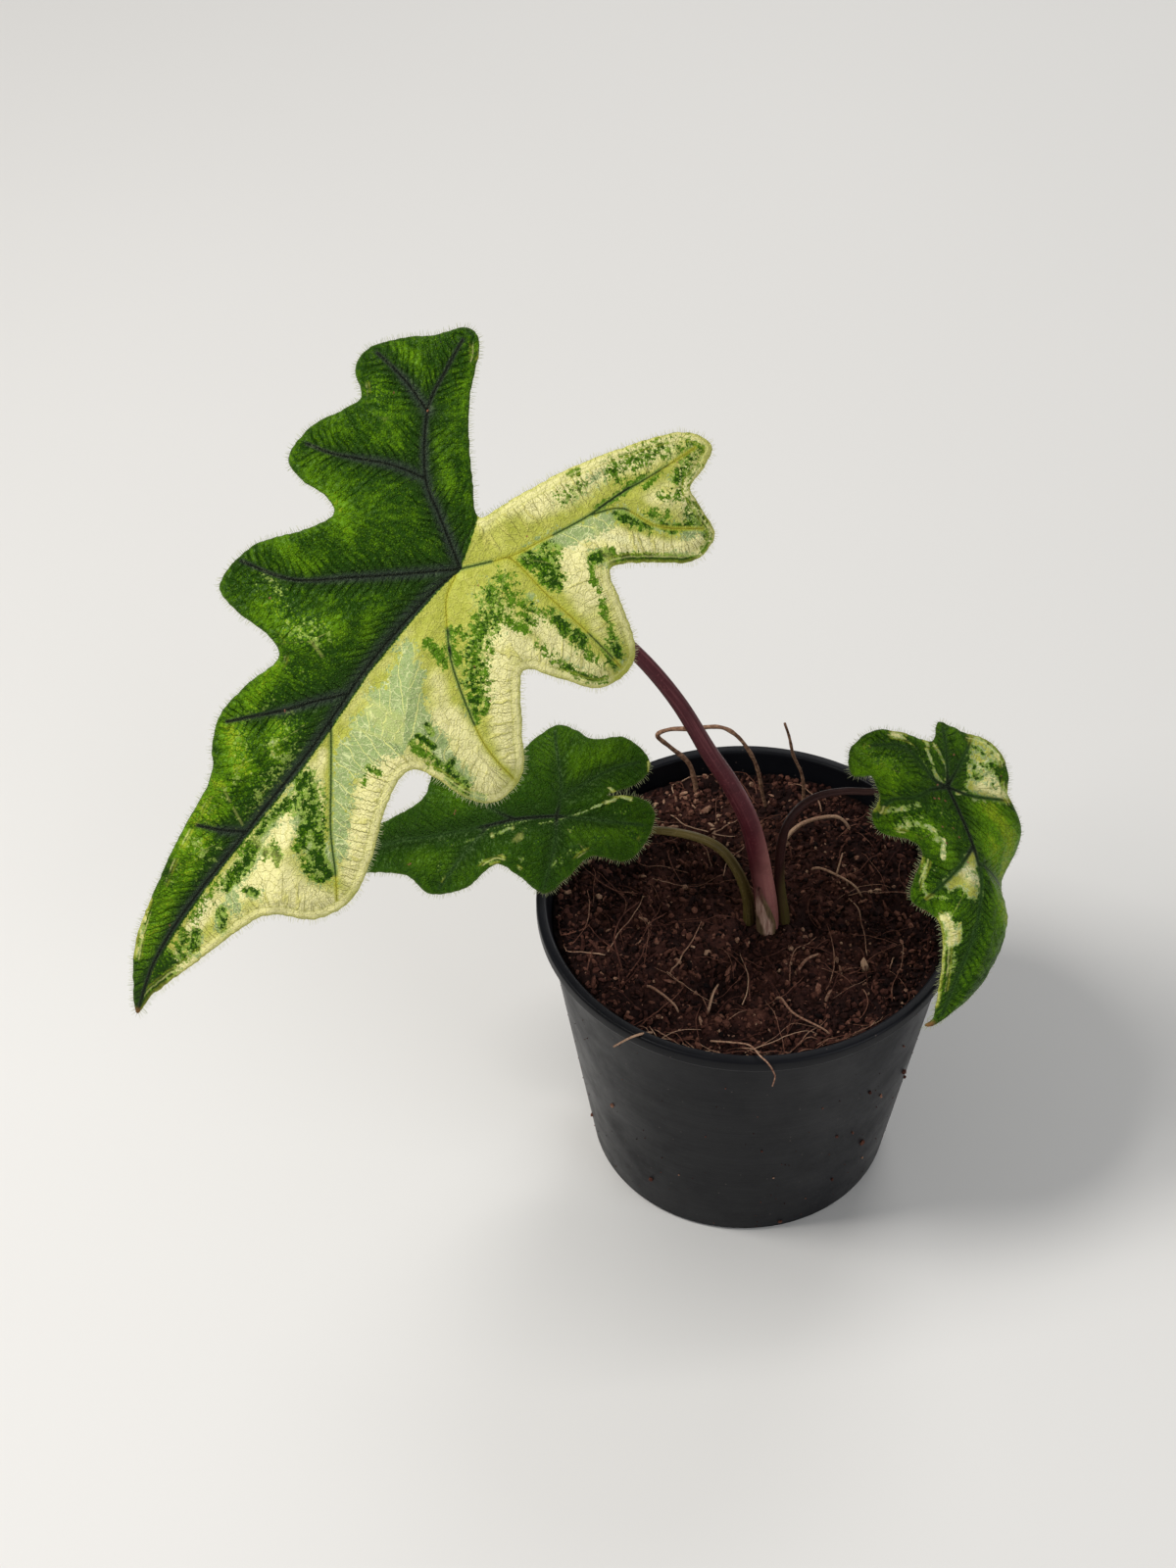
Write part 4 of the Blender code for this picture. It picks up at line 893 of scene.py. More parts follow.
def leaf_look(name, crisp, under=False):
    """The blade's finish: two layers of green in ragged cells over cream, veins and margin.

    A whole cell switches over as a layer's painted strength passes the cell's own level. Crisp
    scales the contrast inside the green.
    """
    look = Look(name, roughness=0.5, specular=0.16, Specular_Tint=(0.75, 1.0, 0.45, 1.0))
    p = leaf_pattern(look)
    soft = 0.3 * (1 - crisp)
    level = (p.random * 0.42 + p.small_random * 0.62 + p.sway * 1.5 + 0.10).most(0.16)
    lower_level = (p.other * 0.42 + p.small_other * 0.52 + p.ripple * 0.8 + 0.06).most(0.12)
    has_upper = (p.upper - level).step(-0.09 - soft, 0.17 + soft)
    has_lower = (p.lower - lower_level).step(-0.10, 0.16)
    body = (p.away + p.ripple * 0.25).fall(0.25, 0.90)
    tissue = layered(cream_tissue(p), (has_lower, sage_tissue(p, crisp)),
                     (has_upper, green_tissue(p, crisp, has_lower)))
    tissue = with_margin(with_main_veins(tissue, p, body), p)
    height = (p.fine * 0.35 + p.dome * p.creamy.between(1.1, 0.35)
              + p.feather * p.creamy.between(-1.6 * crisp, 0.3)
              + p.net * p.creamy.between(-0.3, 0.35) + p.teeth * 1.1)
    if under:
        tissue = layered(tissue, (0.42, (0.30, 0.38, 0.17)), (body * 0.7, (0.12, 0.09, 0.055)))
        return look.finish(tissue, p.fine.step(0.2, 0.9, 0.55, 0.75), height, 0.00018, 0.5)
    gloss = (p.fine + p.side_vein * 0.3).step(0.2, 1.1, 0.34, 0.55)
    return look.finish(tissue, gloss, height, 0.00036, 0.9)


def hair_look():
    look = Look("leaf_hair", roughness=0.6, specular=0.2)
    return look.finish(mix(look.single("tone"), (0.16, 0.24, 0.07), (0.60, 0.60, 0.34)))


def stalk_look(name, reach, foot, middle, head, streak):
    """A stalk's skin: fine lengthwise streaks and specks, its colour changing from foot to head.

    The foot's colour reaches highest on the side away from the main blade: on the main stalk its pink there
    is partly the stalk's own colour and partly a painted highlight on its lit side.
    """
    look = Look(name, roughness=0.45, specular=0.18)
    share, turn, place = look.single("share"), look.single("turn"), look.place()
    lines = look.noise(look.join(turn * 9.0, share * 5.0), 1.0, 4.0, 0.6)
    specks = look.noise(place, 1400.0)
    blotch = look.noise(place, 160.0, 3.0)
    colour = layered(
        mix((share - turn * reach).step(0.0, reach), foot, middle),
        (share.step(0.55, 1.0), head),
        (lines.step(0.48, 0.72) * 0.60, streak),
        (specks.step(0.56, 0.72) * 0.40, streak),
        (blotch.step(0.45, 0.8) * 0.35, tuple(0.45 * c for c in middle)))
    return look.finish(colour, specks.step(0.3, 0.7, 0.34, 0.55), lines * 0.8 + specks * 0.3, 0.00018, 0.7)


def sheath_look():
    """Papery beige along the middle, browner and greener at its sides, maroon at its tip."""
    look = Look("dry_sheath", roughness=0.75, specular=0.2)
    place, across, share = look.place(), look.single("across"), look.single("share")
    fibres = look.noise(look.scaled(place, 2600.0, 2600.0, 160.0), 1.0, 4.0, 0.6)
    patch = look.noise(place, 260.0, 3.0)
    papery = fibres.step(0.3, 0.7)
    off_middle = (across - share.step(0.2, 0.95, 0.35, -0.55)).math("ABSOLUTE")
    off_middle = off_middle + (patch - 0.5) * 0.5 + share.step(0.25, 0.6, 0.15, -0.15)
    colour = layered(
        mix(papery, (0.34, 0.17, 0.13), (0.66, 0.44, 0.34)),
        (off_middle.step(0.25, 0.65), mix(papery, (0.085, 0.055, 0.028), (0.20, 0.13, 0.065))),
        ((share + patch * 0.3).step(0.85, 1.25), (0.15, 0.050, 0.045)))
    return look.finish(colour, None, fibres, 0.00025, 0.8)


def root_look():
    look = Look("root_skin", roughness=0.8, specular=0.2)
    place = look.place()
    bark = look.noise(place, 900.0, 4.0, 0.6)
    rings = look.noise(look.scaled(place, 60.0, 60.0, 1500.0), 1.0, 3.0)
    colour = layered(mix(bark.step(0.3, 0.7), (0.12, 0.055, 0.032), (0.36, 0.21, 0.13)),
                     (rings.step(0.45, 0.7) * 0.5, (0.08, 0.04, 0.022)))
    return look.finish(colour, None, bark + rings, 0.0004, 0.8)


def pot_look():
    """Black moulded plastic with faint flow marks, scuffs and dust towards its foot."""
    look = Look("pot_plastic", roughness=0.4, specular=0.11)
    place = look.place()
    flow = look.noise(look.scaled(place, 18.0, 18.0, 260.0), 1.0, 4.0, 0.6)
    grain = look.noise(place, 2600.0)
    scuff = look.noise(place, 55.0, 6.0, 0.7)
    random, _, _, middle = look.cells(place, 520.0)
    dust = middle.fall(0.06, 0.16) * random.step(0.86, 0.9)
    smear = scuff.step(0.52, 0.75) * look.split(place)[2].step(0.0, 0.06, 0.5, 0.1)
    colour = layered(mix(flow, (0.0035, 0.0038, 0.0050), (0.0075, 0.0080, 0.0105)),
                     (smear, (0.022, 0.020, 0.020)), (dust * 0.5, (0.14, 0.11, 0.095)))
    gloss = scuff.step(0.3, 0.7, 0.30, 0.46) + smear * 0.25
    return look.finish(colour, gloss, grain * 0.3 + flow, 0.00012, 0.5)


COIR_TONES = {0.0: (0.004, 0.002, 0.002), 0.3: (0.018, 0.0068, 0.0055), 0.55: (0.056, 0.020, 0.0145),
              0.78: (0.17, 0.072, 0.048), 1.0: (0.50, 0.32, 0.21)}


def coir_look(name, patchy=0.4):
    """Coir in its own tones: each crumb or fibre has one value from 0, dark, to 1, pale."""
    look = Look(name, roughness=0.92, specular=0.12)
    place = look.place()
    grain = look.noise(place, 1500.0, 4.0, 0.65)
    patch = look.noise(place, 90.0, 3.0)
    tone = look.single("tone") + (grain - 0.5) * 0.5 + (patch - 0.5) * patchy
    colours = look.build("ValToRGB", {"Fac": tone})
    points = colours.color_ramp.elements
    while len(points) < len(COIR_TONES):
        points.new(0.5)
    for point, (position, colour) in zip(points, COIR_TONES.items()):
        point.position = position
        point.color = (*colour, 1.0)
    return look.finish(Value(look, colours.outputs["Color"]), None, grain, 0.0003, 0.9)


def floor_look():
    look = Look("floor_plain", roughness=0.75, specular=0.2)
    return look.finish(mix(look.noise(look.place(), 3.0), (0.70, 0.69, 0.67), (0.74, 0.73, 0.71)))


# Pot

def wall_radius(height):
    top = POT_RIM_RADIUS - LIP_OVERHANG
    return POT_BASE_RADIUS + (top - POT_BASE_RADIUS) * height / (POT_HEIGHT - LIP_HEIGHT)


def inner_radius(height):
    return wall_radius(height) - POT_WALL


def corner_arc(radius, height, start, end, steps=6):
    turns = np.radians(np.linspace(start, end, steps + 1))
    return [(radius + LIP_ROUND * math.cos(t), height + LIP_ROUND * math.sin(t)) for t in turns]


def turned(profile, sides, centre=(0.0, 0.0)):
    """Vertices and faces of a solid of revolution whose profile starts and ends on the axis."""
    verts, rings, faces = [], [], []
    for radius, height in profile:
        count = sides if radius > 0 else 1
        rings.append(range(len(verts), len(verts) + count))
        verts += [(centre[0] + radius * math.cos(math.tau * k / sides),
                   centre[1] + radius * math.sin(math.tau * k / sides), height) for k in range(count)]
    for low, high in zip(rings, rings[1:]):
        for k in range(sides):
            corners = [low[k % len(low)], low[(k + 1) % len(low)],
                       high[(k + 1) % len(high)], high[k % len(high)]]
            faces.append(list(dict.fromkeys(corners)))
    return verts, faces


def pot_profile(floor):
    """Half section of the pot from the middle of its base round the lip to its inner floor."""
    lip_bottom = POT_HEIGHT - LIP_HEIGHT
    ring_inner = POT_BASE_RADIUS - FOOT_RING_WIDTH
    lip_inner = inner_radius(POT_HEIGHT)
    return [
        (0, 0), (BASE_MIDDLE_RADIUS, 0), (BASE_MIDDLE_RADIUS + BASE_RECESS, BASE_RECESS),
        (ring_inner - BASE_RECESS, BASE_RECESS), (ring_inner, 0),
        (POT_BASE_RADIUS - FOOT_CHAMFER, 0), (wall_radius(FOOT_CHAMFER), FOOT_CHAMFER),
        (wall_radius(30), 30), (wall_radius(60), 60),
        (wall_radius(lip_bottom) - 0.02, lip_bottom - 0.25), (wall_radius(lip_bottom) + 0.25, lip_bottom),
        *corner_arc(POT_RIM_RADIUS - LIP_ROUND, lip_bottom + LIP_ROUND, -90, 0),
        *corner_arc(POT_RIM_RADIUS - LIP_ROUND, POT_HEIGHT - LIP_ROUND, 0, 90),
        *corner_arc(lip_inner + LIP_ROUND, POT_HEIGHT - LIP_ROUND, 90, 180),
        (inner_radius(lip_bottom), lip_bottom), (inner_radius(floor), floor), (0, floor),
    ]


def drill_hole(pot, name, centre, top):
    """Cuts a round hole of the drain's radius through the pot's base."""
    verts, faces = turned([(0, -1), (DRAIN_RADIUS, -1), (DRAIN_RADIUS, top), (0, top)], 32, centre)
    mesh = bpy.data.meshes.new(name)
    mesh.from_pydata((np.array(verts) * MM).tolist(), [], faces)
    drill = bpy.data.objects.new(name, mesh)
    bpy.context.scene.collection.objects.link(drill)
    cut = pot.modifiers.new(name, "BOOLEAN")
    cut.operation = "DIFFERENCE"
    cut.solver = "MANIFOLD"
    cut.object = drill
    bpy.context.view_layer.update()
    shaped = pot.evaluated_get(bpy.context.evaluated_depsgraph_get())
    result = bpy.data.meshes.new_from_object(shaped)
    pot.modifiers.clear()
    pot.data = result
    bpy.data.objects.remove(drill, do_unlink=True)


def make_pot(look):
    floor = BASE_RECESS + BASE_THICKNESS
    verts, faces = turned(pot_profile(floor), POT_SIDES)
    pot = add_piece("pot_shell", verts, faces, [look], "pot", "pot_plastic")
    for k in range(DRAIN_COUNT):
        turn = math.tau * (k + 0.5) / DRAIN_COUNT
        centre = (DRAIN_RING_RADIUS * math.cos(turn), DRAIN_RING_RADIUS * math.sin(turn))
        drill_hole(pot, f"drain_{k}", centre, floor + 1)
    pot.data.set_sharp_from_angle(angle=math.radians(35))


# Soil

def soil_height(x, y):
    """The rough mounded surface, as in the part's source."""
    away = min(1.0, math.hypot(x, y) / inner_radius(SOIL_EDGE))
    lumps = (noise.noise(Vector((x, y, 3.0)) / SOIL_LUMP)
             + 0.7 * noise.noise(Vector((x, y, 9.0)) / SOIL_CRUMB))
    return SOIL_EDGE + SOIL_MOUND * (1 - away ** 2) + SOIL_ROUGHNESS * lumps


def fine_height(x, y):
    """The same with crumbs and pits that are too small for the solid."""
    spot = Vector((x, y, 5.0))
    crumbs = abs(noise.noise(spot / 2.4)) * 1.4 + abs(noise.noise(spot / 1.2)) * 0.8
    return soil_height(x, y) + crumbs + 0.3 * noise.noise(spot / 0.8) - 0.8


def grid_points(radius, spacing):
    rows = int(radius / (spacing * math.sqrt(3) / 2)) + 1
    columns = int(radius / spacing) + 1
    row, column = np.mgrid[-rows:rows + 1, -columns:columns + 1]
    x = (column + 0.5 * (row % 2)) * spacing
    return np.column_stack([x.ravel(), (row * spacing * math.sqrt(3) / 2).ravel()])


def make_soil(look):
    floor = BASE_RECESS + BASE_THICKNESS + GAP
    radius = inner_radius(SOIL_EDGE - SOIL_ROUGHNESS) - GAP
    turn = np.linspace(0, math.tau, POT_SIDES * 2, endpoint=False)
    rim = radius * np.column_stack([np.cos(turn), np.sin(turn)])
    inside = grid_points(radius, SOIL_GRAIN)
    inside = inside[np.hypot(*inside.T) < radius - 0.5 * SOIL_GRAIN]
    flat, _, triangles, *_ = delaunay_2d_cdt([Vector(p) for p in np.vstack([rim, inside])], [],
                                             [list(range(len(rim)))], 1, 1e-6)
    verts = [(p.x, p.y, fine_height(p.x, p.y)) for p in flat]
    for k in range(len(rim)):
        verts[k] = (verts[k][0], verts[k][1], min(verts[k][2], SOIL_EDGE - 0.5))
    first, sides = len(verts), len(rim)
    shrink = (inner_radius(floor) - GAP) / radius
    verts += [(x * shrink, y * shrink, floor) for x, y in rim]
    faces = [list(t) for t in triangles]
    faces += [[k, first + k, first + (k + 1) % sides, (k + 1) % sides] for k in range(sides)]
    faces.append([first + k for k in reversed(range(sides))])
    # Painted shade: the bed's tone rises with its height, so its hollows are darker and its tops paler
    tones = 0.30 + 0.55 * (np.array(verts)[:, 2] - SOIL_EDGE - 1.0) / 6.0
    add_piece("soil_bed", verts, faces, [look], "soil", "coir", {"tone": np.clip(tones, 0.1, 0.6)})


def lump(random, size, squash):
    """A small angular crumb: an icosahedron pushed about, stretched and turned."""
    golden = (1 + math.sqrt(5)) / 2
    corners = np.array([(-1, golden, 0), (1, golden, 0), (-1, -golden, 0), (1, -golden, 0),
                        (0, -1, golden), (0, 1, golden), (0, -1, -golden), (0, 1, -golden),
                        (golden, 0, -1), (golden, 0, 1), (-golden, 0, -1), (-golden, 0, 1)]) / 1.9
    corners = corners * random.uniform(0.7, 1.15, (12, 1)) * squash
    q = random.normal(size=4)
    q /= np.linalg.norm(q)
    w, x, y, z = q
    turn = np.array([[1 - 2 * (y * y + z * z), 2 * (x * y - z * w), 2 * (x * z + y * w)],
                     [2 * (x * y + z * w), 1 - 2 * (x * x + z * z), 2 * (y * z - x * w)],
                     [2 * (x * z - y * w), 2 * (y * z + x * w), 1 - 2 * (x * x + y * y)]])
    return size * corners @ turn.T


LUMP_FACES = [(0, 11, 5), (0, 5, 1), (0, 1, 7), (0, 7, 10), (0, 10, 11), (1, 5, 9), (5, 11, 4),
              (11, 10, 2), (10, 7, 6), (7, 1, 8), (3, 9, 4), (3, 4, 2), (3, 2, 6), (3, 6, 8),
              (3, 8, 9), (4, 9, 5), (2, 4, 11), (6, 2, 10), (8, 6, 7), (9, 8, 1)]


def scatter_place(random, reach):
    """A random place on the soil inside a radius, even by area."""
    radius = reach * math.sqrt(random.random())
    turn = random.uniform(0, math.tau)
    return radius * math.cos(turn), radius * math.sin(turn)


def on_soil(x, y, lift):
    return np.array([x, y, fine_height(x, y) + lift])


def make_crumbs(look):
    random = np.random.default_rng(11)
    heap = Heap()
    reach = inner_radius(SOIL_EDGE) - 1.6
    for _ in range(CRUMB_COUNT):
        x, y = scatter_place(random, reach)
        size = 0.36 + 0.62 * random.random() ** 2.5
        squash = random.uniform(0.5, 1.6, 3)
        tone = np.clip(random.normal(0.44, 0.19), 0.02, 0.9)
        heap.add(lump(random, size, squash) + on_soil(x, y, 0.25 * size), LUMP_FACES, tone)
    heap.make_piece("soil_crumbs", look, "soil", "coir", flat=True)


def make_chips(look):
    """Larger chips and husk pieces, long and flat, with a few placed as they lie."""
    random = np.random.default_rng(23)
    heap = Heap()
    reach = inner_radius(SOIL_EDGE) - 3.0
    for _ in range(CHIP_COUNT):
        x, y = scatter_place(random, reach)
        size = random.uniform(0.7, 1.25)
        squash = np.array([random.uniform(1.2, 2.6), random.uniform(0.35, 0.7), random.uniform(0.5, 1.0)])
        tone = np.clip(random.normal(0.56, 0.16), 0.1, 0.92)
        heap.add(lump(random, size, squash) + on_soil(x, y, 0.35 * size), LUMP_FACES, tone)
    for x, y, size, tone in PLACED_CHIPS:
        heap.add(lump(random, size, (1.5, 0.75, 0.7)) + on_soil(x, y, 0.5 * size), LUMP_FACES, tone)
    heap.make_piece("soil_chips", look, "soil", "coir", flat=True)


def loose_fibre(random, reach, at_rim):
    """Middle line of a fibre that lies on the soil in a slack, wandering arch."""
    x, y = scatter_place(random, reach - 2)
    heading = random.uniform(0, math.tau)
    length = random.uniform(5, 24)
    if at_rim:
        turn = math.radians(random.uniform(-128, -62))
        x = (reach - random.uniform(0, 4)) * math.cos(turn)
        y = (reach - random.uniform(0, 4)) * math.sin(turn)
        heading = turn + math.pi / 2 + random.normal(0, 0.5)
    bend = random.normal(0, 0.05)
    lift = random.uniform(0.3, 1.5) + 1.2 * at_rim
    steps = max(5, int(length / 1.6))
    line = []
    for k in range(steps + 1):
        line.append((x, y, soil_height(x, y) + 0.3 + lift * math.sin(math.pi * k / steps)))
        x += math.cos(heading) * length / steps
        y += math.sin(heading) * length / steps
        heading += bend * length / steps + random.normal(0, 0.12)
        away = math.hypot(x, y)
        if away > reach:
            x, y = x * reach / away, y * reach / away
    return line


def make_fibres(look):
    random = np.random.default_rng(31)
    heap = Heap()
    for radius, tone, route in PLACED_FIBRES:
        line = smooth_curve(route, 1.2)
        heap.add_rod(line, radius * np.linspace(1.0, 0.6, len(line)), 6, tone)
    for k in range(FIBRE_COUNT + RIM_FIBRE_COUNT):
        at_rim = k >= FIBRE_COUNT
        line = loose_fibre(random, inner_radius(SOIL_EDGE) - 2.0, at_rim)
        radius = random.uniform(0.10, 0.24)
        tone = np.clip(random.normal(0.68 + 0.12 * at_rim, 0.13), 0.3, 0.98)
        heap.add_rod(line, radius * np.linspace(1.0, 0.6, len(line)), 4, tone)
    heap.make_piece("soil_fibres", look, "soil", "coir")


def on_wall(turn, height, lift):
    radius = wall_radius(height) + lift
    return np.array([radius * math.cos(turn), radius * math.sin(turn), height])


def make_clinging(look):
    random = np.random.default_rng(5)
    heap = Heap()
    for degrees, height, size in CLINGING:
        place = on_wall(math.radians(degrees - 90), height, 0.15 * size)
        crumb = lump(random, 0.7 * size, random.uniform(0.6, 1.3, 3)) + place
        heap.add(crumb, LUMP_FACES, random.uniform(0.55, 0.9))
    for _ in range(CLINGING_SPECKS):
        place = on_wall(random.uniform(0, math.tau), 2 + 86 * random.random() ** 1.6, 0.04)
        crumb = lump(random, random.uniform(0.10, 0.26), random.uniform(0.6, 1.3, 3)) + place
        heap.add(crumb, LUMP_FACES, random.uniform(0.35, 0.75))
    heap.make_piece("pot_clinging_crumbs", look, "pot", "coir", flat=True)


# Stalks, sheath and root

def make_stalk(stalk, leaf, look):
    foot, top = stalk["radii"]
    under = leaf["thickness"] / 2 + NOSE_CLEARANCE
    nose = [bent(leaf, np.array([[0.0, v]]), np.array([-(under + top * share)]))[0]
            for v, share in ((-2.0, 1.0), (3.0, 0.9), (8.0, NOSE_SHARE))]
    line = smooth_curve([*stalk["route"], *nose], 1.4)
    count = len(line)
    run = np.concatenate([[0], np.cumsum(np.linalg.norm(np.diff(line, axis=0), axis=1))])
    radii = foot + (top - foot) * ramp(run / run[-1], 0.05, 0.75)
    radii = radii * (1 - (1 - NOSE_SHARE) * ramp(run, run[-1] - 9, run[-1]))
    radii = radii * (1 + 0.08 * (1 - ramp(line[:, 2], 88, 108)))
    turn = np.linspace(0, math.tau, STALK_SIDES, endpoint=False)
    wave = 1 + stalk["ridges"] * np.cos(9 * turn)[None, :] * np.ones((count, 1))
    uneven = np.array([[noise.noise(Vector((math.cos(t), math.sin(t), r / 14.0))) for t in turn]
                       for r in run])
    verts, faces, share = tube(line, radii, STALK_SIDES, wave + 0.035 * uneven)
    around = np.concatenate([np.tile(np.abs(np.linspace(-1, 1, STALK_SIDES)), count), [0, 0]])
    node = stalk["node"]
    add_piece(node + "_stalk", verts, faces, [look], node, stalk["slot"], {"share": share, "turn": around})


def sheath_row(share):
    """Pairs of inner and outer points across the strip at a share of its height."""
    spread = math.radians(20 + 26 * math.sin(math.pi * min(1.0, share / 0.9)) - 10 * share ** 3)
    height = SHEATH_BOTTOM + (SHEATH_TOP - SHEATH_BOTTOM) * share
    middle = CROWN[0] - 0.08 * max(0.0, height - 98.0)
    for column in range(SHEATH_COLUMNS + 1):
        across = 2 * column / SHEATH_COLUMNS - 1
        turn = math.radians(-100 - 24 * share ** 2) + spread * across
        ragged = 1.2 * math.sin(10 * across) * share + 0.7 * noise.noise(Vector((9 * across, 3, share)))
        wrinkle = 0.22 * noise.noise(Vector((5 * across, 9 * share, 1.0)))
        base = SHEATH_INNER_RADIUS + 0.3 * share + 0.12 + wrinkle + 0.25 * share * across ** 2
        for radius in (base, base + SHEATH_THICKNESS * (1 - 0.5 * abs(across) ** 3)):
            place = (middle + radius * math.cos(turn), CROWN[1] + radius * math.sin(turn),
                     height + ragged * share)
            yield place, across, share


def make_sheath(look):
    """A dry, split strip round the front of the main stalk's foot."""
    rows = [sheath_row(row / SHEATH_ROWS) for row in range(SHEATH_ROWS + 1)]
    verts, across, share = zip(*(point for row in rows for point in row))
    width = 2 * (SHEATH_COLUMNS + 1)
    faces = []
    for row in range(SHEATH_ROWS):
        for column in range(SHEATH_COLUMNS):
            a = row * width + 2 * column
            faces.append([a, a + width, a + 2 + width, a + 2])
            faces.append([a + 1, a + 3, a + 3 + width, a + 1 + width])
        a = row * width
        faces.append([a, a + 1, a + width + 1, a + width])
        a += width - 2
        faces.append([a + width, a + width + 1, a + 1, a])
    for a in range(0, width - 2, 2):
        b = SHEATH_ROWS * width + a
        faces.append([a, a + 2, a + 3, a + 1])
        faces.append([b, b + 1, b + 3, b + 2])
    add_piece("sheath_strip", verts, faces, [look], "sheath", "dry_sheath",
              {"across": across, "share": share})


def make_loose_root(look):
    line = smooth_curve(LOOSE_ROOT_ROUTE, 0.9)
    thin = np.linspace(1.0, 0.55, len(line))
    knots = np.array([1 + 0.22 * noise.noise(Vector(p) / 2.5) for p in line])
    verts, faces, _ = tube(line, LOOSE_ROOT_RADIUS * thin * knots, 10)
    add_piece("loose_root_strand", verts, faces, [look], "loose_root", "root_skin")


# Blades

def arc(distance, start, end, reach):
    """How far along, how far up and at what slope a line is that bends evenly over the reach."""
    first = np.radians(start)
    rate = np.radians(end - start) / reach
    slope = first + rate * distance
    return ((np.sin(slope) - np.sin(first)) / rate, (np.cos(first) - np.cos(slope)) / rate, slope)


def blade_axes(leaf):
    along = np.array(leaf["towards_tip"], float)
    along /= np.linalg.norm(along)
    facing = np.array(leaf["facing"], float)
    facing -= along * (facing @ along)
    facing /= np.linalg.norm(facing)
    return np.cross(along, facing), along, facing


def bent(leaf, flat, lift):
    """Places in millimetres of points of the flat blade, each lifted off it by lift."""
    across, along, facing = blade_axes(leaf)
    u, v = np.asarray(flat, float).T
    ahead = arc(np.maximum(v, 0), 0.0, -leaf["tip_bend"][0], leaf["tip_bend"][1])
    back = arc(np.maximum(-v, 0), 0.0, -leaf["back_bend"][0], leaf["back_bend"][1])
    run, drop, slope = ahead[0] - back[0], ahead[1] + back[1], ahead[2] - back[2]
    side = np.where(u >= 0, 1.0, -1.0)
    curl = np.where(u >= 0, leaf["curl"][0], leaf["curl"][1])
    angle, over = leaf.get("fold", NO_BEND)
    fold = np.where(u < 0, angle * ramp(v, 0.0, over), 0.0)
    out, rise, tilt = arc(np.abs(u), leaf["cup"] - fold, -curl - fold, leaf["curl"][2])
    bow, length = leaf.get("bow", NO_BEND)
    out = side * out + bow * np.sin(math.pi * np.clip(v / length, 0, 1))
    upward = np.cos(slope)[:, None] * facing - np.sin(slope)[:, None] * along
    normal = np.cos(tilt)[:, None] * upward - (side * np.sin(tilt))[:, None] * across
    return (np.array(leaf["junction"]) + out[:, None] * across + run[:, None] * along
            + drop[:, None] * facing + rise[:, None] * upward + np.asarray(lift)[:, None] * normal)


def vein_fields(leaf, points, veins):
    """From the main veins at each point: distance, slant phase, taper, gap to the next one, halo."""
    distances, phases, tapers = [], [], []
    for k, (lean, line) in enumerate(veins):
        away, along, side = nearest(points, line)
        length = np.linalg.norm(np.diff(line, axis=0), axis=1).sum()
        distances.append(away)
        phases.append(along - lean * away - 0.012 * away ** 2 + 7.3 * k + 3.1 * (side > 0))
        weight = 1.25 if k == 0 else 0.9
        tapers.append(weight * (1 - 0.72 * along / length))
    distances, phases, tapers = map(np.array, (distances, phases, tapers))
    order = distances.argsort(0)
    rows = np.arange(len(points))
    first, second = order[0], order[1]
    away = distances[first, rows]
    reach = 0.5 + 3.3 * tapers
    halo = np.max(np.exp(-(distances / reach) ** 2) * np.clip(tapers * 1.8, 0, 1), 0)
    warp = 1.9 * rough(points, 6.5) + 0.55 * rough(points, 2.3, 6.0)
    return {"away": away, "phase": (phases[first, rows] + warp) / leaf["quilt"][1],
            "taper": tapers[first, rows], "meet": distances[second, rows] - away, "halo": halo}


def green_share(leaf, flat):
    """1 on a blade's green side and 0 on its cream side; a blade with no border is all green."""
    if "border" not in leaf:
        return np.ones(len(flat))
    border_v, border_u = np.array(leaf["border"], float).T
    return ramp(flat[:, 0] - np.interp(flat[:, 1], border_v, border_u), -0.25, 0.3)


def fine_relief(leaf, flat, fields, edge):
    """Lift of the blade's middle surface, as in the source with its own small forms added."""
    height, width = leaf["puff"]
    drop, reach = leaf["roll"]
    away = fields["away"]
    lift = height * (1 - np.exp(-(away / width) ** 2)) - drop * np.exp(-edge / reach)
    calm = ramp(away, 0.2, 2.0) * ramp(fields["meet"], 0.1, 1.4) * ramp(edge, 0.1, 2.0)
    between = 2 * np.abs((fields["phase"] + 0.5) % 1 - 0.5)
    uneven = (0.35 + 1.0 * green_share(leaf, flat)) * (1.0 + 1.1 * rough(flat, 4.0, 12.0))
    quilt = leaf["quilt"][0] * (1 - (1 - between) ** 2 - 0.6) * calm * uneven
    bumps = 0.34 * rough(flat, 3.4, 4.0) + 0.16 * rough(flat, 1.4, 8.0)
    lane = -0.16 * np.exp(-((edge - 2.3) / 0.6) ** 2) + 0.12 * np.exp(-(edge / 0.5) ** 2)
    return lift + quilt + bumps * ramp(away, 0.3, 2.0) * ramp(edge, 0.0, 1.5) + lane


def outline_ways(outline):
    """Unit steps along a closed outline, and the same turned a quarter clockwise."""
    way = np.roll(outline, -1, axis=0) - np.roll(outline, 1, axis=0)
    way /= np.linalg.norm(way, axis=1)[:, None]
    return way, np.column_stack([way[:, 1], -way[:, 0]])


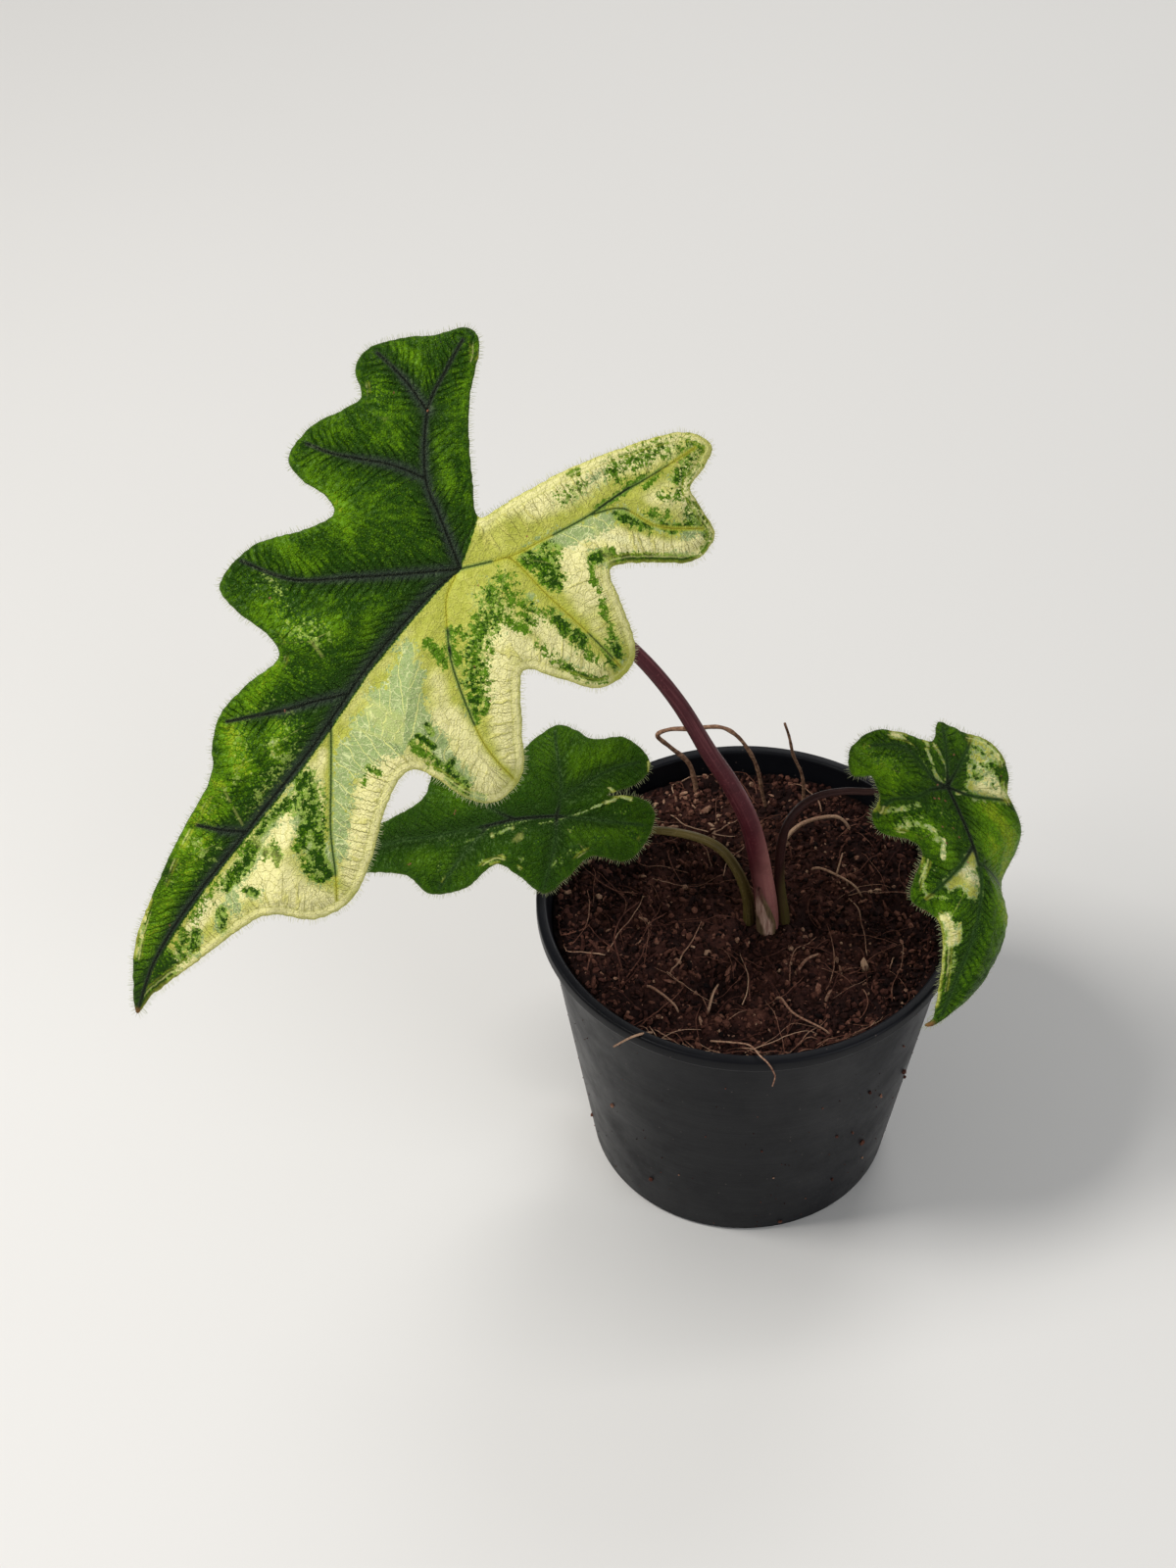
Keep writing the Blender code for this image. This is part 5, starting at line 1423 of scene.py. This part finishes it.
def leaf_mesh(leaf):
    """Flat points and triangles of a blade, its main veins and its closed outline."""
    step = leaf["step"]
    outline = smooth_curve(leaf["edge"], step, closed=True)
    jitter = rough(outline, 1.6, 2.0) * 0.22 + rough(outline, 0.7, 5.0) * 0.10
    outline = outline + jitter[:, None] * outline_ways(outline)[1]
    veins = [(lean, smooth_curve(line, step)) for lean, line in leaf["veins"]]
    closed = np.vstack([outline, outline[:1]])
    points, edges = [outline], []
    count = len(outline)
    for _, line in veins:
        kept = line[nearest(line, closed)[0] > 0.4 * step]
        points.append(kept)
        edges += [(count + k, count + k + 1) for k in range(len(kept) - 1)]
        count += len(kept)
    reach = np.abs(np.array(leaf["edge"], float)).max() + 40
    grid = grid_points(reach, step) + np.array([0.0, 30.0])
    low, high = outline.min(0), outline.max(0)
    grid = grid[((grid > low) & (grid < high)).all(1)]
    clear = nearest(grid, closed)[0] > 0.55 * step
    for _, line in veins:
        clear &= nearest(grid, line)[0] > 0.5 * step
    points = np.vstack([*points, grid[clear]])
    flat, _, triangles, *_ = delaunay_2d_cdt([Vector(p) for p in points], edges,
                                             [list(range(len(outline)))], 1, 1e-7)
    triangles = np.array([list(t) for t in triangles])
    used, triangles = np.unique(triangles, return_inverse=True)
    triangles = triangles.reshape(-1, 3)
    flat = np.array([tuple(flat[i]) for i in used])
    return flat, triangles, veins, closed


def border_edges(triangles):
    """The directed edges of the triangles that have no partner, which follow the outline."""
    edges = {(int(t[k]), int(t[(k + 1) % 3])) for t in triangles for k in range(3)}
    return [(a, b) for a, b in edges if (b, a) not in edges]


def tissue_fields(leaf, flat, edge, comb, fields):
    """The painted values of a blade at its flat points, three to an attribute."""
    upper, lower = 1.05 * painted(flat, leaf["upper"], 1.4), 1.1 * painted(flat, leaf["lower"], 1.3)
    # Glow is younger, yellower green and painted light on lit patches; bright, added below, paints light
    # over the whole blade, shade where it is below 0
    glow, dark = painted(flat, leaf["glow"]), painted(flat, leaf["dark"])
    green_half = green_share(leaf, flat)
    if "border" in leaf:
        glow = np.where(green_half > 0.5, glow, 0.12)
        dark = np.maximum(dark, green_half)
    strength, lower_loss = leaf["wash"]
    fade = strength * painted(flat, leaf["fade"], 1.4)
    fade = fade * (1 + 0.5 * rough(flat, 1.7, 20.0) + 0.5 * rough(flat, 0.75, 24.0))
    upper = upper + (2.0 - upper) * green_half - 2.1 * fade
    lower = lower + (1.8 - lower) * green_half - lower_loss * fade
    places = np.array([place.split(",") for place in leaf["spots"].split()], float)
    gaps = np.linalg.norm(flat[:, None] - places[None], axis=2)
    spots = np.exp(-(gaps.min(1) / 0.42) ** 2)
    tip = np.array(max(leaf["edge"], key=lambda p: p[1]), float)
    brown = leaf["tip_brown"] * np.exp(-(np.linalg.norm(flat - tip, axis=1) / 2.2) ** 2)
    return {
        "flat": (flat[:, 0], flat[:, 1], comb),
        "tone": (upper, lower, painted(flat, leaf["pale"])),
        "rib": (fields["phase"], fields["away"], fields["meet"]),
        "mark": (edge, fields["halo"] * green_half * leaf["smoke"], dark),
        "accent": (glow + leaf["bright"], spots, brown),
    }


def make_leaf(leaf, looks):
    flat, triangles, veins, closed = leaf_mesh(leaf)
    edge, round_edge, _ = nearest(flat, closed)
    fields = vein_fields(leaf, flat, veins)
    away, taper = fields["away"], fields["taper"]
    lift = fine_relief(leaf, flat, fields, edge)
    near = np.exp(-(away / 0.8) ** 2) * taper
    half = leaf["thickness"] / 2 * (0.45 + 0.55 * ramp(edge, 0.0, 1.2))
    top = lift + half - 0.42 * leaf["rib"] * near
    under = lift - half - 0.70 * leaf["rib"] * np.exp(-(away / 1.0) ** 2) * taper
    verts = np.vstack([bent(leaf, flat, top), bent(leaf, flat, under)])
    count = len(flat)
    border = border_edges(triangles)
    faces = triangles.tolist() + (triangles[:, ::-1] + count).tolist()
    faces += [[b, a, a + count, b + count] for a, b in border]
    shades = [0] * len(triangles) + [1] * len(triangles) + [0] * len(border)
    tissue = tissue_fields(leaf, flat, edge, round_edge / COMB_GAP, fields)
    both_sides = {key: np.tile(np.column_stack(values), (2, 1)) for key, values in tissue.items()}
    add_piece(leaf["node"] + "_blade", verts, faces, looks, leaf["node"], leaf["slot"], both_sides, shades)


def make_hairs(leaf, look):
    """Short soft hairs that stand out round the blade's margin."""
    random = np.random.default_rng(leaf["hair_seed"])
    outline = smooth_curve(leaf["edge"], HAIR_SPACING, closed=True)
    closed = np.vstack([outline, outline[:1]])
    veins = [(lean, smooth_curve(line, 1.0)) for lean, line in leaf["veins"]]
    way, outward = outline_ways(outline)
    area = 0.5 * np.sum(outline[:, 0] * np.roll(outline[:, 1], -1)
                        - outline[:, 1] * np.roll(outline[:, 0], -1))
    outward *= np.sign(area)
    root = outline - 0.15 * outward
    tips = outline + outward * random.uniform(0.6, 1.6, (len(outline), 1))
    tips = tips + way * random.normal(0, 0.3, (len(outline), 1))
    lift = fine_relief(leaf, root, vein_fields(leaf, root, veins), nearest(root, closed)[0])
    feet = bent(leaf, root, lift)
    heads = bent(leaf, tips, lift + random.uniform(-0.2, 0.8, len(lift)))
    heap = Heap()
    for foot, head, (u, _) in zip(feet, heads, outline):
        pale = 1.0 if "border" in leaf and u < 0 else random.uniform(0.25, 0.8)
        middle = (foot + head) / 2 + random.normal(0, 0.05, 3)
        heap.add_rod(np.array([foot, middle, head]), [0.075, 0.055, 0.02], 3, pale)
    heap.make_piece(leaf["node"] + "_hairs", look, leaf["node"], leaf["slot"])


# Scene

def make_camera(scene):
    data = bpy.data.cameras.new("camera")
    data.lens = CAMERA_LENS
    data.sensor_width = CAMERA_SENSOR
    camera = bpy.data.objects.new("camera", data)
    camera.location = CAMERA_PLACE
    camera.rotation_euler = (CAMERA_TILT, 0.0, 0.0)
    scene.collection.objects.link(camera)
    scene.camera = camera


def make_floor(scene):
    reach = FLOOR_REACH
    mesh = bpy.data.meshes.new("floor")
    mesh.from_pydata([(-reach, -reach, 0), (reach, -reach, 0), (reach, reach, 0), (-reach, reach, 0)],
                     [], [(0, 1, 2, 3)])
    mesh.materials.append(floor_look())
    floor = bpy.data.objects.new("floor", mesh)
    floor.location = (0, 0, -FLOOR_DROP)
    scene.collection.objects.link(floor)


def make_lights(scene):
    world = bpy.data.worlds.new("soft_light")
    world.use_nodes = True
    background = world.node_tree.nodes["Background"]
    background.inputs["Color"].default_value = (WORLD_GREY, WORLD_GREY, WORLD_GREY, 1.0)
    background.inputs["Strength"].default_value = WORLD_STRENGTH
    scene.world = world
    for name, place, size, power, colour in LIGHTS:
        light = bpy.data.lights.new(name, "AREA")
        light.shape = "DISK"
        light.size = size
        light.energy = power
        light.color = colour
        made = bpy.data.objects.new(name, light)
        made.location = place
        made.rotation_euler = (Vector(LIGHT_TARGET) - Vector(place)).to_track_quat("-Z", "Y").to_euler()
        scene.collection.objects.link(made)


def make_plant():
    coir = coir_look("coir")
    make_pot(pot_look())
    make_soil(coir_look("coir_bed", 0.7))
    make_crumbs(coir)
    make_chips(coir)
    make_fibres(coir)
    make_clinging(coir)
    roots = root_look()
    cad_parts["rootstock"].data.materials.clear()
    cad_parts["rootstock"].data.materials.append(roots)
    make_loose_root(roots)
    make_sheath(sheath_look())
    for stalk, leaf in zip(STALKS, BLADES):
        make_stalk(stalk, leaf, stalk_look(stalk["slot"], stalk["foot_reach"], *stalk["tones"]))
    hairs = hair_look()
    for leaf in BLADES:
        looks = [leaf_look(leaf["node"] + "_top", leaf["crisp"]),
                 leaf_look(leaf["node"] + "_under", leaf["crisp"], under=True)]
        make_leaf(leaf, looks)
        make_hairs(leaf, hairs)


def main():
    scene = bpy.context.scene
    scene.view_settings.view_transform = "Standard"
    make_camera(scene)
    make_floor(scene)
    make_lights(scene)
    make_plant()


main()
